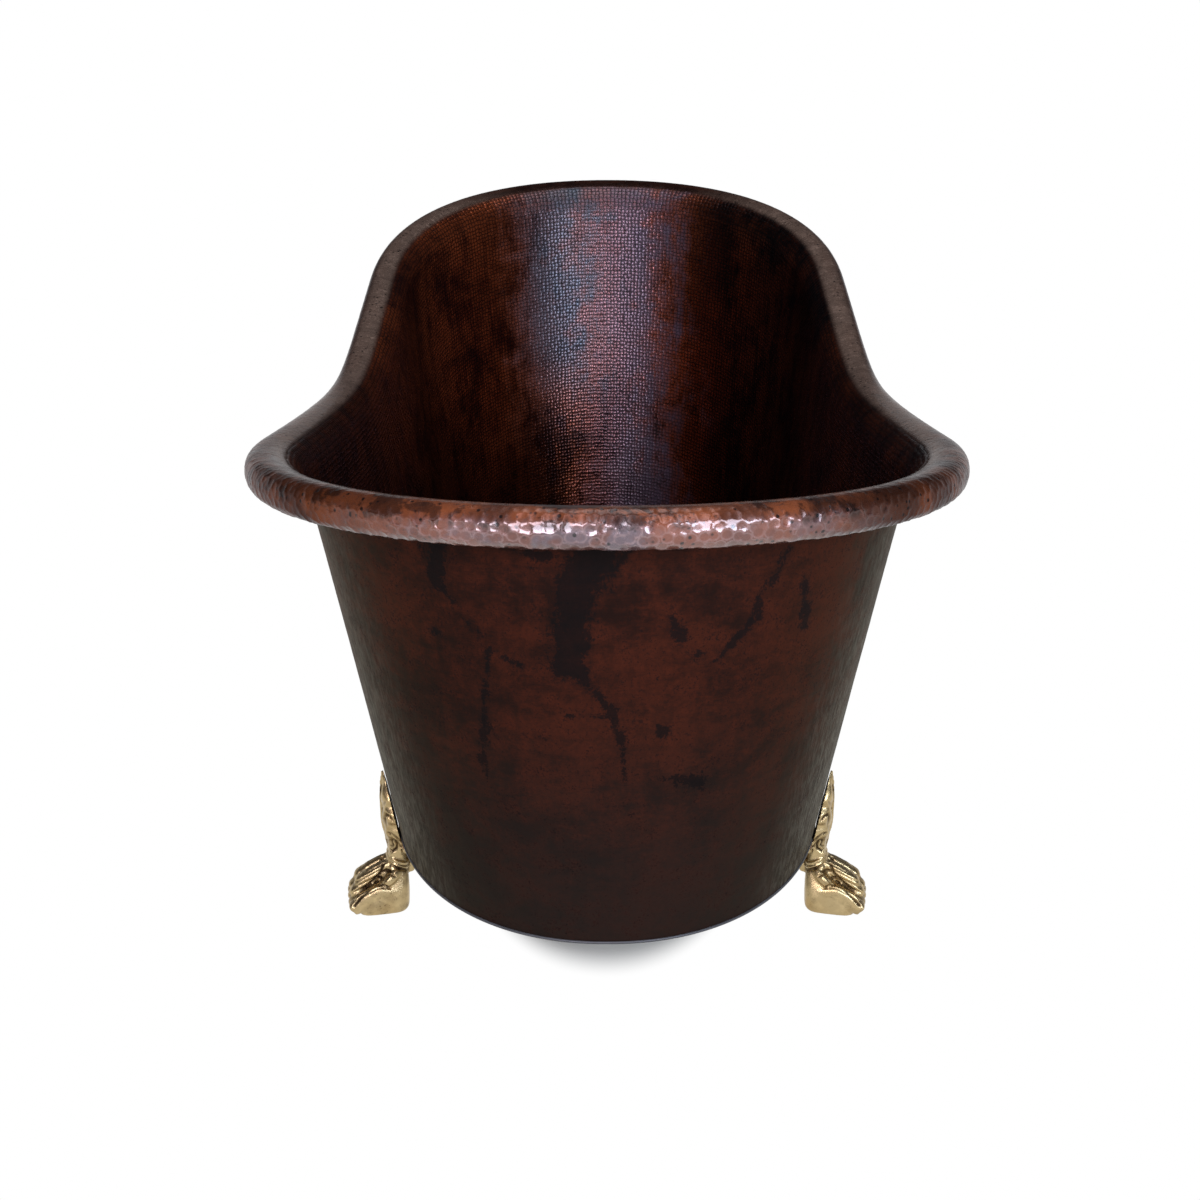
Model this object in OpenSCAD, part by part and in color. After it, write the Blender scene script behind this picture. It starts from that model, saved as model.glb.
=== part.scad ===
// Freestanding slipper bath in hammered copper sheet on four cast brass lion paw feet.
// X runs across the bath, Y along it with the raised head end at +Y, and Z up.
// The origin is on the floor under the middle of the bath.

/* [Rim] */
// Length of the bath over the rolled rim
bath_length = 1676; // [1580:1:1760]
// Width of the bath over the rolled rim
bath_width = 813; // [760:1:860]
// Length of each rounded end of the rim
rim_end_length = 447.5; // [410:0.5:480]
// Roundness of the rim's ends, where 2 is an ellipse
rim_roundness = 2.08; // [1.9:0.01:2.4]
// Radius of the roll at the rim's outer edge
roll_radius = 19.5; // [15:0.5:24]
// Radius of the crown between the wall and the roll
crown_radius = 47; // [36:1:56]
// Slope of the sheet from upright where the crown meets the wall, in degrees
crown_lean = 9; // [4:1:14]
// Angle at which the curl under the roll ends, in degrees from the inside level
curl_end_angle = 292; // [240:1:310]

/* [Heights] */
// Height of the rim's crown at the head end above the floor
head_height = 898; // [840:0.5:950]
// Height of the rim's lowest stretch above the floor
low_height = 576; // [540:1:620]
// Rise of the rim at the foot end over its lowest stretch
foot_end_lift = 12; // [0:1:40]
// Distance from the middle of the bath to where the rim begins to rise
rise_start = 79; // [0:1:200]
// Length over which the rim bends from level into its rise
rise_blend = 127; // [60:1:240]
// Radius that eases the rise again toward the head end
rise_easing_radius = 5700; // [4000:100:9000]
// Height of the underside of the bath above the floor
base_clearance = 95; // [90:1:110]

/* [Body] */
// Thickness of the copper sheet of the wall and the rim
wall_sheet = 2; // [1.2:0.1:3]
// Thickness of the floor sheet
floor_sheet = 3; // [2:0.1:5]
// Width of the wall at its foot
base_width = 543; // [500:1:580]
// Length of the straight stretch of each side at the wall's foot
base_straight = 584.5; // [540:0.5:620]
// Length of each rounded end at the wall's foot
base_end_length = 406.5; // [370:0.5:430]
// Roundness of the ends at the wall's foot, where 2 is an ellipse
base_roundness = 2.12; // [1.9:0.01:2.4]
// How far the floor sheet stands proud of the wall's foot
hem_overhang = 1.2; // [0.6:0.1:2]

/* [Feet] */
// Distance of each pair of feet from the middle of the bath
foot_station = 440; // [400:1:480]
// Length of the paw from heel to toe
paw_length = 76; // [66:1:84]
// Width of the paw across its toes
paw_width = 66; // [58:1:74]
// Height of the paw's instep
paw_height = 62; // [56:1:66]
// How far the heel lies inward of the wall's foot
heel_inset = 12; // [8:1:16]
// Height of the leaf's tip above the floor
leg_height = 180; // [165:1:200]
// Width of the leaf on the wall
leg_width = 62; // [50:1:72]
// Depth of the leaf out from the wall
leg_depth = 13.5; // [10:0.5:18]
// Distance between the middles of neighbouring toes
toe_pitch = 16; // [14:0.5:18]
// Radius of a toe
toe_radius = 9; // [8:0.5:10]
// Angle by which neighbouring toes fan out, in degrees
toe_fan = 5; // [0:1:8]
// Tilt of the cuff round the ankle, in degrees
cuff_tilt = 22; // [0:1:26]

/* [Foot fixing] */
// Thickness of the pad brazed under the floor at each foot
pad_thickness = 3; // [2:0.5:5]
// Length of the pad inward from the wall's foot
pad_length = 66; // [58:1:80]
// Width of the pad along the wall
pad_width = 76; // [66:1:90]
// Thickness of the foot's shelf under the pad
shelf_thickness = 10; // [8:0.5:12]
// Diameter of the fixing studs
stud_diameter = 8; // [6:0.5:10]
// Length of the studs below the pad
stud_length = 24; // [21:0.5:30]
// Distance between the two studs of a foot
stud_spacing = 34; // [30:1:40]
// Distance of the studs inward from the wall's foot
stud_inset = 36; // [32:1:40]
// Diameter of the washers under the nuts
washer_diameter = 20; // [17:0.5:22]
// Thickness of the washers
washer_thickness = 1.6; // [1:0.1:2.5]
// Width of the nuts across their corners
nut_corners = 15; // [12:0.5:18]
// Height of the nuts
nut_height = 6.5; // [5:0.5:8]

/* [Waste] */
// Distance of the waste inward from the foot end of the wall's foot
waste_inset = 190.75; // [160:0.25:220]
// Outer diameter of the waste's thread
thread_diameter = 47.8; // [46:0.1:49]
// Bore of the waste
waste_bore = 38; // [34:0.5:40]
// Diameter of the hole in the floor
floor_hole = 52; // [50:0.5:54]
// Diameter of the waste's flange
flange_diameter = 76; // [72:0.5:84]
// Thickness of the flange at its edge
flange_edge = 2; // [1.5:0.1:3]
// Thickness of the flange's gasket
gasket_thickness = 1.5; // [1:0.1:2.5]
// Length of the waste below the floor sheet's top
waste_length = 63; // [56:1:70]
// Thickness of the rubber washer under the floor
rubber_washer_thickness = 4; // [3:0.5:5]
// Outer diameter of both washers under the floor
under_washer_diameter = 70; // [64:0.5:76]
// Thickness of the slip washer
slip_washer_thickness = 1; // [0.5:0.1:1.5]
// Width of the locknut across its corners
locknut_corners = 68; // [62:0.5:72]
// Height of the locknut
locknut_height = 9; // [7:0.5:11]

/* [Stopper] */
// Diameter of the post that the stopper slides on
post_diameter = 8; // [6:0.5:9]
// Outer diameter of the guide bush
bush_diameter = 14; // [12:0.5:15]
// Length of the guide bush
bush_length = 18; // [17:0.5:20]
// Diameter of the stopper's cap
cap_diameter = 66; // [64:0.5:70]
// Height of the cap's dome over its edge
dome_height = 6.7; // [5:0.1:9]
// Diameter of the knob's head
knob_diameter = 17; // [14:0.5:20]
// Height of the knob above the cap
knob_height = 14; // [12:0.5:18]
// How far the stopper lifts
lift_travel = 10; // [8:0.5:10]

/* [Hidden] */
$fn = 64;

// Steps round a quarter of an end, along a side, round the crown, down the roll's outer face,
// round the curl under it, and up the wall
end_steps = 16;
side_steps = 8;
crown_steps = 4;
roll_steps = 4;
curl_steps = 5;
wall_rows = 3;
// Points round a section of a foot, and of the balls that its toes are hulled from
foot_ring_points = 20;
toe_fn = 14;

// Overrun of cuts, the gap between pieces that rest on each other's curves, the play of a
// thread in its nut and the running play of a sliding fit
overrun = 1;
seat_gap = 0.3;
thread_play = 0.05;
running_play = 0.05;
hole_play = 0.5;

half_length = bath_length / 2;
half_width = bath_width / 2;
rim_straight = half_length - rim_end_length;
base_half_width = base_width / 2;
base_half_straight = base_straight / 2;
floor_top = base_clearance + floor_sheet;
waste_station = base_half_straight + base_end_length - waste_inset;

// Stations round the plan: side of X, side of Y, angle round the end, place along the straight
stations = concat(
    [for (i = [0 : 1 : end_steps]) [1, -1, 90 * i / end_steps, -1]],
    [for (i = [1 : 1 : side_steps - 1]) [1, 1, 90, -1 + 2 * i / side_steps]],
    [for (i = [0 : 1 : end_steps]) [1, 1, 90 - 90 * i / end_steps, 1]],
    [for (i = [1 : 1 : end_steps]) [-1, 1, 90 * i / end_steps, 1]],
    [for (i = [1 : 1 : side_steps - 1]) [-1, 1, 90, 1 - 2 * i / side_steps]],
    [for (i = [0 : 1 : end_steps - 1]) [-1, -1, 90 - 90 * i / end_steps, -1]]
);

// Point of an outline with straight sides and rounded ends, at one station
function plan_point(s, half_w, straight, end_len, roundness) = [
    s[0] * half_w * pow(sin(s[2]), 2 / roundness),
    s[3] * straight + s[1] * end_len * pow(cos(s[2]), 2 / roundness)
];

// Point of the rim's plan at a distance inward from its outer edge
function rim_plan(s, inward) =
    plan_point(s, half_width - inward, rim_straight, rim_end_length - inward, rim_roundness);

// Point of the wall's foot at a distance inward from its outer face
function base_plan(s, inward) = plan_point(
    s, base_half_width - inward, base_half_straight, base_end_length - inward, base_roundness
);

// Height of the rim's top over a place along the bath: level, bending into an eased rise
function rise_run(y) = (sqrt(pow(y - rise_start, 2) + pow(rise_blend, 2)) + y - rise_start) / 2;
head_run = rise_run(half_length - roll_radius);
rise_slope = (head_height - low_height + pow(head_run, 2) / rise_easing_radius) / head_run;
function rim_top(y) = low_height + rise_slope * rise_run(y)
    - pow(rise_run(y), 2) / rise_easing_radius
    + foot_end_lift * pow(max(0, -y) / half_length, 2);

// Section of the rim's sheet as distance inward from the outer edge and height under the top
function crown_point(angle, depth) = [
    roll_radius + (crown_radius - depth) * cos(angle),
    (crown_radius - depth) * sin(angle) - crown_radius
];
function roll_point(angle, depth) = [
    roll_radius + (roll_radius - depth) * cos(angle),
    (roll_radius - depth) * sin(angle) - roll_radius
];
function rim_face(depth) = concat(
    [for (i = [0 : 1 : crown_steps]) crown_point(crown_lean + (90 - crown_lean) * i / crown_steps, depth)],
    [for (i = [1 : 1 : roll_steps]) roll_point(90 + 90 * i / roll_steps, depth)],
    [for (i = [1 : 1 : curl_steps]) roll_point(180 + (curl_end_angle - 180) * i / curl_steps, depth)]
);
rim_inside = rim_face(0);
rim_underside = rim_face(wall_sheet);
rim_section = concat(rim_inside, [for (i = [len(rim_underside) - 1 : -1 : 0]) rim_underside[i]]);

// Place in space of a section point at a station
function rim_place(s, section_point) =
    let (flat = rim_plan(s, section_point[0]))
    [flat[0], flat[1], rim_top(flat[1]) + section_point[1]];

// A ruled line of the wall at a station, from its foot to where the crown begins
function wall_place(s, depth, up) =
    let (foot = base_plan(s, depth),
         head = rim_place(s, crown_point(crown_lean, wall_sheet - depth)))
    [foot[0], foot[1], floor_top] * (1 - up) + head * up;

// Closed ring of rings as one skin, each ring a loop of as many points
module ring_of_rings(rings) {
    count = len(rings);
    size = len(rings[0]);
    polyhedron(
        points = [for (ring = rings) each ring],
        faces = [
            for (i = [0 : 1 : count - 1], j = [0 : 1 : size - 1])
                let (a = i * size, b = (i + 1) % count * size, k = (j + 1) % size)
                each [[a + j, b + k, a + k], [a + j, b + j, b + k]]
        ]
    );
}

// Stack of rings as one skin with flat ends
module stack_of_rings(rings) {
    count = len(rings);
    size = len(rings[0]);
    polyhedron(
        points = [for (ring = rings) each ring],
        faces = concat(
            [[for (j = [0 : 1 : size - 1]) j]],
            [
                for (i = [0 : 1 : count - 2], j = [0 : 1 : size - 1])
                    let (a = i * size, b = (i + 1) * size, k = (j + 1) % size)
                    each [[a + j, b + k, a + k], [a + j, b + j, b + k]]
            ],
            [[for (j = [size - 1 : -1 : 0]) (count - 1) * size + j]]
        )
    );
}

module tub_wall() {
    color("#5a2c20")
        ring_of_rings([
            for (s = stations) concat(
                [for (i = [wall_rows : -1 : 0]) wall_place(s, 0, i / wall_rows)],
                [for (i = [0 : 1 : wall_rows]) wall_place(s, wall_sheet, i / wall_rows)]
            )
        ]);
}

module tub_floor() {
    color("#4a2a22")
        translate([0, 0, base_clearance])
            difference() {
                linear_extrude(floor_sheet)
                    polygon([for (s = stations) base_plan(s, -hem_overhang)]);
                translate([0, -waste_station, -overrun])
                    cylinder(h = floor_sheet + 2 * overrun, d = floor_hole);
            }
}

module rolled_rim() {
    color("#9a5f4b")
        ring_of_rings([for (s = stations) [for (p = rim_section) rim_place(s, p)]]);
}

// Feet

// Where a foot stands on the outline of the wall's foot, which way it faces there, and the
// wall's lean in that direction at the foot end (-1) or the head end (1)
foot_angle = acos(pow((foot_station - base_half_straight) / base_end_length, base_roundness / 2));
foot_spot = base_plan([1, -1, foot_angle, -1], 0);
foot_normal = [
    pow(foot_spot[0] / base_half_width, base_roundness - 1) / base_half_width,
    -pow((foot_station - base_half_straight) / base_end_length, base_roundness - 1) / base_end_length
];
foot_turn = atan2(foot_normal[1], foot_normal[0]);
function foot_lean(end) =
    let (foot = wall_place([1, end, foot_angle, end], 0, 0),
         head = wall_place([1, end, foot_angle, end], 0, 1),
         run = (head[0] - foot[0]) * cos(foot_turn) - end * (head[1] - foot[1]) * sin(foot_turn))
    run / (head[2] - foot[2]);

// Rings of the paw from the sole to the shelf: height, heel, toe and width as shares of the
// paw's height, length, length and width, and tilt as a share of the cuff's tilt
paw_shares = [
    [0.00, 0.10, 0.84, 0.84, 0],
    [0.08, 0.03, 0.88, 0.92, 0],
    [0.28, 0.00, 0.90, 0.97, 0],
    [0.46, 0.00, 0.86, 0.96, 0],
    [0.62, 0.00, 0.75, 0.90, 0],
    [0.76, 0.00, 0.60, 0.80, 0.3],
    [0.88, 0.01, 0.46, 0.69, 0.7],
    [0.97, 0.02, 0.37, 0.61, 1],
    [1.00, 0.00, 0.39, 0.65, 1],
    [1.04, 0.00, 0.39, 0.65, 1],
    [1.07, 0.02, 0.35, 0.59, 1],
    [1.18, 0.02, 0.32, 0.58, 0.5]
];
// Rings of the leaf from the cuff to its tip: height as a share of the stretch from the paw's
// instep to the tip, depth and width as shares of the leaf's own
leaf_shares = [
    [0.00, 0.86, 0.58],
    [0.12, 0.80, 0.60],
    [0.26, 0.86, 0.72],
    [0.42, 0.98, 0.90],
    [0.56, 1.00, 1.00],
    [0.70, 0.84, 0.94],
    [0.82, 0.60, 0.70],
    [0.92, 0.38, 0.40],
    [1.00, 0.16, 0.12]
];
// Squareness of the paw's rings and the leaf's rings, where 1 is an ellipse
ring_square_share = 0.8;
// Places of a toe's three balls: length, height and radius as shares of the paw's length, the
// paw's height and the toe's radius
toe_shares = [
    [0.58, 0.60, 1.06],
    [0.78, 0.44, 1.00],
    [0.86, 0.13, 0.92]
];
// How far the two middle toes reach past the outer ones, as a share of the toe's radius
middle_toe_share = 0.3;

// Rounded square section at one height, with its heel and toe on the X axis
function foot_ring(back, front, width, z, tilt) = [
    for (i = [0 : 1 : foot_ring_points - 1])
        let (a = 360 * i / foot_ring_points,
             x = (front - back) / 2 * sign(cos(a)) * pow(abs(cos(a)), ring_square_share))
        [(front + back) / 2 + x, width / 2 * sign(sin(a)) * pow(abs(sin(a)), ring_square_share), z + x * tan(tilt)]
];

module paw_body() {
    stack_of_rings([
        for (r = paw_shares)
            foot_ring(r[1] * paw_length - heel_inset, r[2] * paw_length - heel_inset, r[3] * paw_width,
                r[0] * paw_height, r[4] * cuff_tilt)
    ]);
}

module toe(number) {
    reach = (number == 1 || number == 2) ? middle_toe_share * toe_radius : 0;
    side = number - 1.5;
    translate([reach - heel_inset, side * toe_pitch, 0])
        rotate([0, 0, side * toe_fan])
            for (i = [0 : 1 : 1])
                hull()
                    for (r = [toe_shares[i], toe_shares[i + 1]])
                        translate([r[0] * paw_length, 0, r[1] * paw_height])
                            sphere(r = r[2] * toe_radius, $fn = toe_fn);
}

// Leaf that stands against the wall, its back a small gap off the wall's face
module leaf(lean) {
    foot_gap = hem_overhang + seat_gap;
    stack_of_rings([
        for (r = leaf_shares)
            let (z = paw_height + r[0] * (leg_height - paw_height),
                 wall = foot_gap + max(0, z - floor_top) * lean)
            foot_ring(wall, wall + r[1] * leg_depth, r[2] * leg_width, z, 0)
    ]);
}

shelf_top = base_clearance - pad_thickness;
shelf_margin = 5;
shelf_inner = pad_length - shelf_margin;
shelf_width = pad_width - 2 * shelf_margin;

// Shelf that runs in under the floor, with a gusset down to the ankle
module foot_shelf() {
    translate([-shelf_inner, -shelf_width / 2, shelf_top - shelf_thickness])
        cube([shelf_inner + seat_gap, shelf_width, shelf_thickness]);
    hull() {
        translate([-stud_inset + washer_diameter, -stud_diameter / 2, shelf_top - shelf_thickness])
            cube([stud_inset - washer_diameter, stud_diameter, shelf_thickness]);
        translate([-heel_inset, -stud_diameter / 2, paw_height / 2])
            cube([heel_inset, stud_diameter, shelf_thickness]);
    }
}

module stud_places() {
    for (side = [-1, 1])
        translate([-stud_inset, side * stud_spacing / 2, 0])
            children();
}

module foot(lean) {
    difference() {
        union() {
            paw_body();
            for (number = [0 : 1 : 3])
                toe(number);
            leaf(lean);
            foot_shelf();
        }
        stud_places()
            translate([0, 0, shelf_top - shelf_thickness - overrun])
                cylinder(h = shelf_thickness + 2 * overrun, d = stud_diameter + 2 * hole_play, $fn = toe_fn);
        translate([-paw_length, -paw_length, -paw_height])
            cube([2 * paw_length, 2 * paw_length, paw_height]);
    }
}

// Puts its children at one foot: X is -1 on the left, Y is -1 at the foot end
module at_foot(side, end) {
    mirror([side < 0 ? 1 : 0, 0, 0])
        mirror([0, end > 0 ? 1 : 0, 0])
            translate([foot_spot[0], foot_spot[1], 0])
                rotate([0, 0, foot_turn])
                    children();
}

module at_every_foot() {
    for (side = [-1, 1], end = [-1, 1])
        at_foot(side, end)
            children();
}

module cast_foot(side, end) {
    color("#b3935a")
        at_foot(side, end)
            foot(foot_lean(end));
}

module pad(side, end) {
    color("#8a5a44")
        at_foot(side, end)
            translate([-pad_length, -pad_width / 2, shelf_top])
                cube([pad_length - seat_gap, pad_width, pad_thickness]);
}

module front_left_foot() { cast_foot(-1, -1); }
module front_right_foot() { cast_foot(1, -1); }
module rear_left_foot() { cast_foot(-1, 1); }
module rear_right_foot() { cast_foot(1, 1); }
module front_left_pad() { pad(-1, -1); }
module front_right_pad() { pad(1, -1); }
module rear_left_pad() { pad(-1, 1); }
module rear_right_pad() { pad(1, 1); }

module foot_studs() {
    color("#c9b37a")
        at_every_foot()
            stud_places()
                translate([0, 0, shelf_top - stud_length])
                    cylinder(h = stud_length, d = stud_diameter);
}

washer_bottom = shelf_top - shelf_thickness - washer_thickness;

module foot_washers() {
    color("#c9b37a")
        at_every_foot()
            stud_places()
                translate([0, 0, washer_bottom])
                    ring(washer_diameter, stud_diameter + 2 * hole_play, washer_thickness);
}

module foot_nuts() {
    color("#c9b37a")
        at_every_foot()
            stud_places()
                translate([0, 0, washer_bottom - nut_height])
                    hex_nut(nut_corners, stud_diameter + 2 * thread_play, nut_height);
}

module ring(outer, inner, height) {
    difference() {
        cylinder(h = height, d = outer);
        translate([0, 0, -overrun])
            cylinder(h = height + 2 * overrun, d = inner);
    }
}

module hex_nut(corners, inner, height) {
    difference() {
        cylinder(h = height, d = corners, $fn = 6);
        translate([0, 0, -overrun])
            cylinder(h = height + 2 * overrun, d = inner);
    }
}

// Waste, on its own axis with Z zero at the floor sheet's top

thread_radius = thread_diameter / 2;
bore_radius = waste_bore / 2;
flange_radius = flange_diameter / 2;
flange_bottom = gasket_thickness;
flange_lip = flange_bottom + flange_edge;
flange_crown_rise = 1.6;
flange_top = flange_lip + flange_crown_rise;
flange_crown_width = 4;
seat_radius = flange_radius - 2 * flange_crown_width;
seat_drop = 2.1;
throat_width = 3;
throat_radius = bore_radius + throat_width;
throat_drop = 7;
seat_slope = seat_drop / (seat_radius - throat_radius);

locknut_bottom = -floor_sheet - rubber_washer_thickness - slip_washer_thickness - locknut_height;
relief_width = 2;
relief_depth = 0.7;
relief_top = locknut_bottom - relief_width / 2;

bar_width = 4;
bar_height = 4;
bar_bottom = -22;
boss_diameter = 14;
boss_height = 10;
boss_bottom = bar_bottom - bar_height;
boss_top = boss_bottom + boss_height;
post_tail = 8;
post_engagement = 6;
bush_bottom = -10;
post_top = bush_bottom + lift_travel + post_engagement;
post_nut_height = 4;
post_nut_corners = 13;

module at_waste() {
    translate([0, -waste_station, floor_top])
        children();
}

module waste_body() {
    color("#b08d57")
        at_waste() {
            rotate_extrude()
                polygon([
                    [bore_radius, -waste_length],
                    [thread_radius, -waste_length],
                    [thread_radius, relief_top - relief_width],
                    [thread_radius - relief_depth, relief_top - relief_width],
                    [thread_radius - relief_depth, relief_top],
                    [thread_radius, relief_top],
                    [thread_radius, flange_bottom],
                    [flange_radius, flange_bottom],
                    [flange_radius, flange_lip],
                    [flange_radius - flange_crown_width, flange_top],
                    [seat_radius, flange_top],
                    [throat_radius, flange_top - seat_drop],
                    [bore_radius, flange_top - throat_drop]
                ]);
            difference() {
                union() {
                    for (turn = [0, 90])
                        rotate([0, 0, turn])
                            translate([-bore_radius - relief_depth, -bar_width / 2, bar_bottom])
                                cube([waste_bore + 2 * relief_depth, bar_width, bar_height]);
                    translate([0, 0, boss_bottom])
                        cylinder(h = boss_height, d = boss_diameter);
                }
                translate([0, 0, boss_bottom - overrun])
                    cylinder(h = boss_height + 2 * overrun, d = post_diameter + 2 * thread_play);
            }
        }
}

module flange_gasket() {
    color("#2a2a2a")
        at_waste()
            ring(flange_diameter - flange_crown_width, thread_diameter + 2 * hole_play, gasket_thickness);
}

module rubber_washer() {
    color("#222222")
        at_waste()
            translate([0, 0, -floor_sheet - rubber_washer_thickness])
                ring(under_washer_diameter, thread_diameter + 2 * hole_play, rubber_washer_thickness);
}

module slip_washer() {
    color("#d8d4c8")
        at_waste()
            translate([0, 0, -floor_sheet - rubber_washer_thickness - slip_washer_thickness])
                ring(under_washer_diameter, thread_diameter + 2 * hole_play, slip_washer_thickness);
}

module waste_locknut() {
    color("#b08d57")
        at_waste()
            translate([0, 0, locknut_bottom])
                hex_nut(locknut_corners, thread_diameter + 2 * thread_play, locknut_height);
}

module stopper_post() {
    color("#c9b37a")
        at_waste()
            translate([0, 0, boss_bottom - post_tail])
                cylinder(h = post_top - boss_bottom + post_tail, d = post_diameter);
}

module post_nut() {
    color("#c9b37a")
        at_waste()
            translate([0, 0, boss_bottom - post_nut_height])
                hex_nut(post_nut_corners, post_diameter + 2 * thread_play, post_nut_height);
}

// Stopper, drawn closed

cap_gap = 0.4;
cap_bottom = flange_top + cap_gap;
cap_edge = 1;
cap_radius = cap_diameter / 2;
bush_top = bush_bottom + bush_length;
hub_wall = 2.5;
hub_radius = bush_diameter / 2 + hub_wall;
hub_bottom = bush_bottom;
knob_stud_diameter = 5;
knob_stud_length = 3;
cap_top = cap_bottom + cap_edge + dome_height;

// The seal lies off the seat's cone by the seat gap, measured square to the cone
seal_radius = seat_radius - flange_edge;
seal_clearance = seat_gap * sqrt(1 + pow(seat_slope, 2));
seal_bottom = flange_top - seat_drop + seal_clearance;

// The dome falls from its middle to its edge as a quarter of an ellipse
dome_steps = 6;
dome_line = [
    for (i = [0 : 1 : dome_steps])
        [cap_radius * cos(90 * i / dome_steps), cap_bottom + cap_edge + dome_height * sin(90 * i / dome_steps)]
];

module stopper_cap() {
    color("#c2a063")
        at_waste()
            difference() {
                rotate_extrude()
                    polygon(concat(
                        [[0, hub_bottom], [hub_radius, hub_bottom], [hub_radius, cap_bottom], [cap_radius, cap_bottom]],
                        dome_line
                    ));
                translate([0, 0, hub_bottom - overrun])
                    cylinder(h = bush_top - hub_bottom + overrun, d = bush_diameter);
                translate([0, 0, cap_top - knob_stud_length])
                    cylinder(h = knob_stud_length + overrun, d = knob_stud_diameter);
            }
}

module guide_bush() {
    color("#e8e4d8")
        at_waste()
            translate([0, 0, bush_bottom])
                ring(bush_diameter, post_diameter + 2 * running_play, bush_length);
}

module stopper_seal() {
    color("#1c1c1c")
        at_waste()
            rotate_extrude()
                polygon([
                    [hub_radius, seal_bottom],
                    [throat_radius, seal_bottom],
                    [seal_radius, seal_bottom + (seal_radius - throat_radius) * seat_slope],
                    [seal_radius, cap_bottom],
                    [hub_radius, cap_bottom]
                ]);
}

// Profile of the knob above the cap: radius and height as shares of the knob's own
knob_shares = [
    [0.60, 0.00], [0.60, 0.08], [0.40, 0.16], [0.36, 0.36], [0.50, 0.50], [0.88, 0.60],
    [1.00, 0.72], [0.96, 0.86], [0.70, 0.96], [0.00, 1.00]
];

module stopper_knob() {
    color("#c2a063")
        at_waste()
            translate([0, 0, cap_top]) {
                rotate_extrude()
                    polygon(concat(
                        [[0, 0]],
                        [for (r = knob_shares) [r[0] * knob_diameter / 2, r[1] * knob_height]]
                    ));
                translate([0, 0, -knob_stud_length])
                    cylinder(h = knob_stud_length, d = knob_stud_diameter);
            }
}

tub_wall();
tub_floor();
rolled_rim();
front_left_foot();
front_right_foot();
rear_left_foot();
rear_right_foot();
front_left_pad();
front_right_pad();
rear_left_pad();
rear_right_pad();
foot_studs();
foot_washers();
foot_nuts();
waste_body();
flange_gasket();
rubber_washer();
slip_washer();
waste_locknut();
stopper_post();
post_nut();
stopper_cap();
guide_bush();
stopper_seal();
stopper_knob();
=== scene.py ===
import itertools
import math

import bmesh
import bpy
import numpy as np
from bpy.props import FloatProperty, FloatVectorProperty, IntProperty, PointerProperty
from mathutils import Matrix


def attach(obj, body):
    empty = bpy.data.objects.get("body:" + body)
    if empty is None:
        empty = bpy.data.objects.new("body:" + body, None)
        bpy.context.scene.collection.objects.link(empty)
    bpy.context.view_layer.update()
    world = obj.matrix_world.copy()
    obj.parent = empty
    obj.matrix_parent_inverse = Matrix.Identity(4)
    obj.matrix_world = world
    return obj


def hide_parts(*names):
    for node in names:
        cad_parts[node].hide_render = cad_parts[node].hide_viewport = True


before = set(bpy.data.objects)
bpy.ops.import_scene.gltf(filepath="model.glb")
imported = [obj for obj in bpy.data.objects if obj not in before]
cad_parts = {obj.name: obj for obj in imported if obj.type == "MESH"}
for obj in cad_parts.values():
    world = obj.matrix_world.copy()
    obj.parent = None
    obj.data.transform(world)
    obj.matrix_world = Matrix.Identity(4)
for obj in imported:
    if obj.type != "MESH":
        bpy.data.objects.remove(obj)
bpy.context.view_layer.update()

bl_info = {
    "name": "Hammered copper slipper bath",
    "version": (1, 0, 0),
    "blender": (4, 5, 0),
    "location": "View3D > Sidebar > Bath",
    "description": "Builds the surfaces and finishes of a slipper bath over its construction model",
    "category": "Object",
}

# Plan of the rim, and of the wall's foot: half width, half straight, length of an end, roundness
RIM_PLAN = (0.4065, 0.3905, 0.4475, 2.08)
FOOT_PLAN = (0.2715, 0.29225, 0.4065, 2.12)
# Rim section: radius of the roll and of the crown, lean where the crown meets the wall, end of the curl
ROLL = 0.0195
CROWN = 0.047
LEAN = math.radians(9)
CURL_END = math.radians(292)
SHEET = 0.002
# Rim height: lowest stretch, its lift at the foot end, start and blend of the rise, easing radius
LOW_HEIGHT = 0.576
FOOT_LIFT = 0.012
RISE_START = 0.079
RISE_BLEND = 0.127
RISE_EASING = 5.7
HEAD_HEIGHT = 0.898
HALF_LENGTH = 0.838
# Share of the wall's height over which it is straight, before it eases into the crown
WALL_STRAIGHT = 0.86
# Floor sheet: its two faces, how far its hem stands out and how rounded it is, and the drain hole
FLOOR_TOP = 0.098
FLOOR_BOTTOM = 0.095
HEM = 0.0012
HEM_ROUND = 0.0013
WASTE_Y = -0.508
DRAIN_RADIUS = 0.026
# Distance along the bath from its middle to the feet
FOOT_Y = 0.440
# How far a face of the scene stays inside the same face of the solid
SKIN = 0.00002
# How far from the middle of the foot end the rim's fine mesh reaches, and the share of the head end's height
# up to which its inside has the coarser one
FINE_RUN = 0.75
COARSE_SHARE = 0.46
# Length of a mark of the bath's inside against its width, and how far a bump carries it on
INSIDE_MARK_SHAPE = 0.84
INSIDE_MARK_BUMP = 1.3
CROWN_RUN = CROWN * (math.pi / 2 - LEAN)
RIM_RUN = CROWN_RUN + ROLL * (CURL_END - math.pi / 2)


# Shares and curves -----------------------------------------------------------------------


def ramp_up(value, start, run):
    """0 up to start, then a straight rise to 1 over run."""
    return np.clip((value - start) / run, 0, 1)


def ramp_down(value, end, run):
    """1 until run is left before end, then a straight fall to 0 at end."""
    return np.clip((end - value) / run, 0, 1)


def signed_power(value, power):
    """A power of the value that keeps its sign."""
    return np.sign(value) * np.abs(value) ** power


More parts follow.
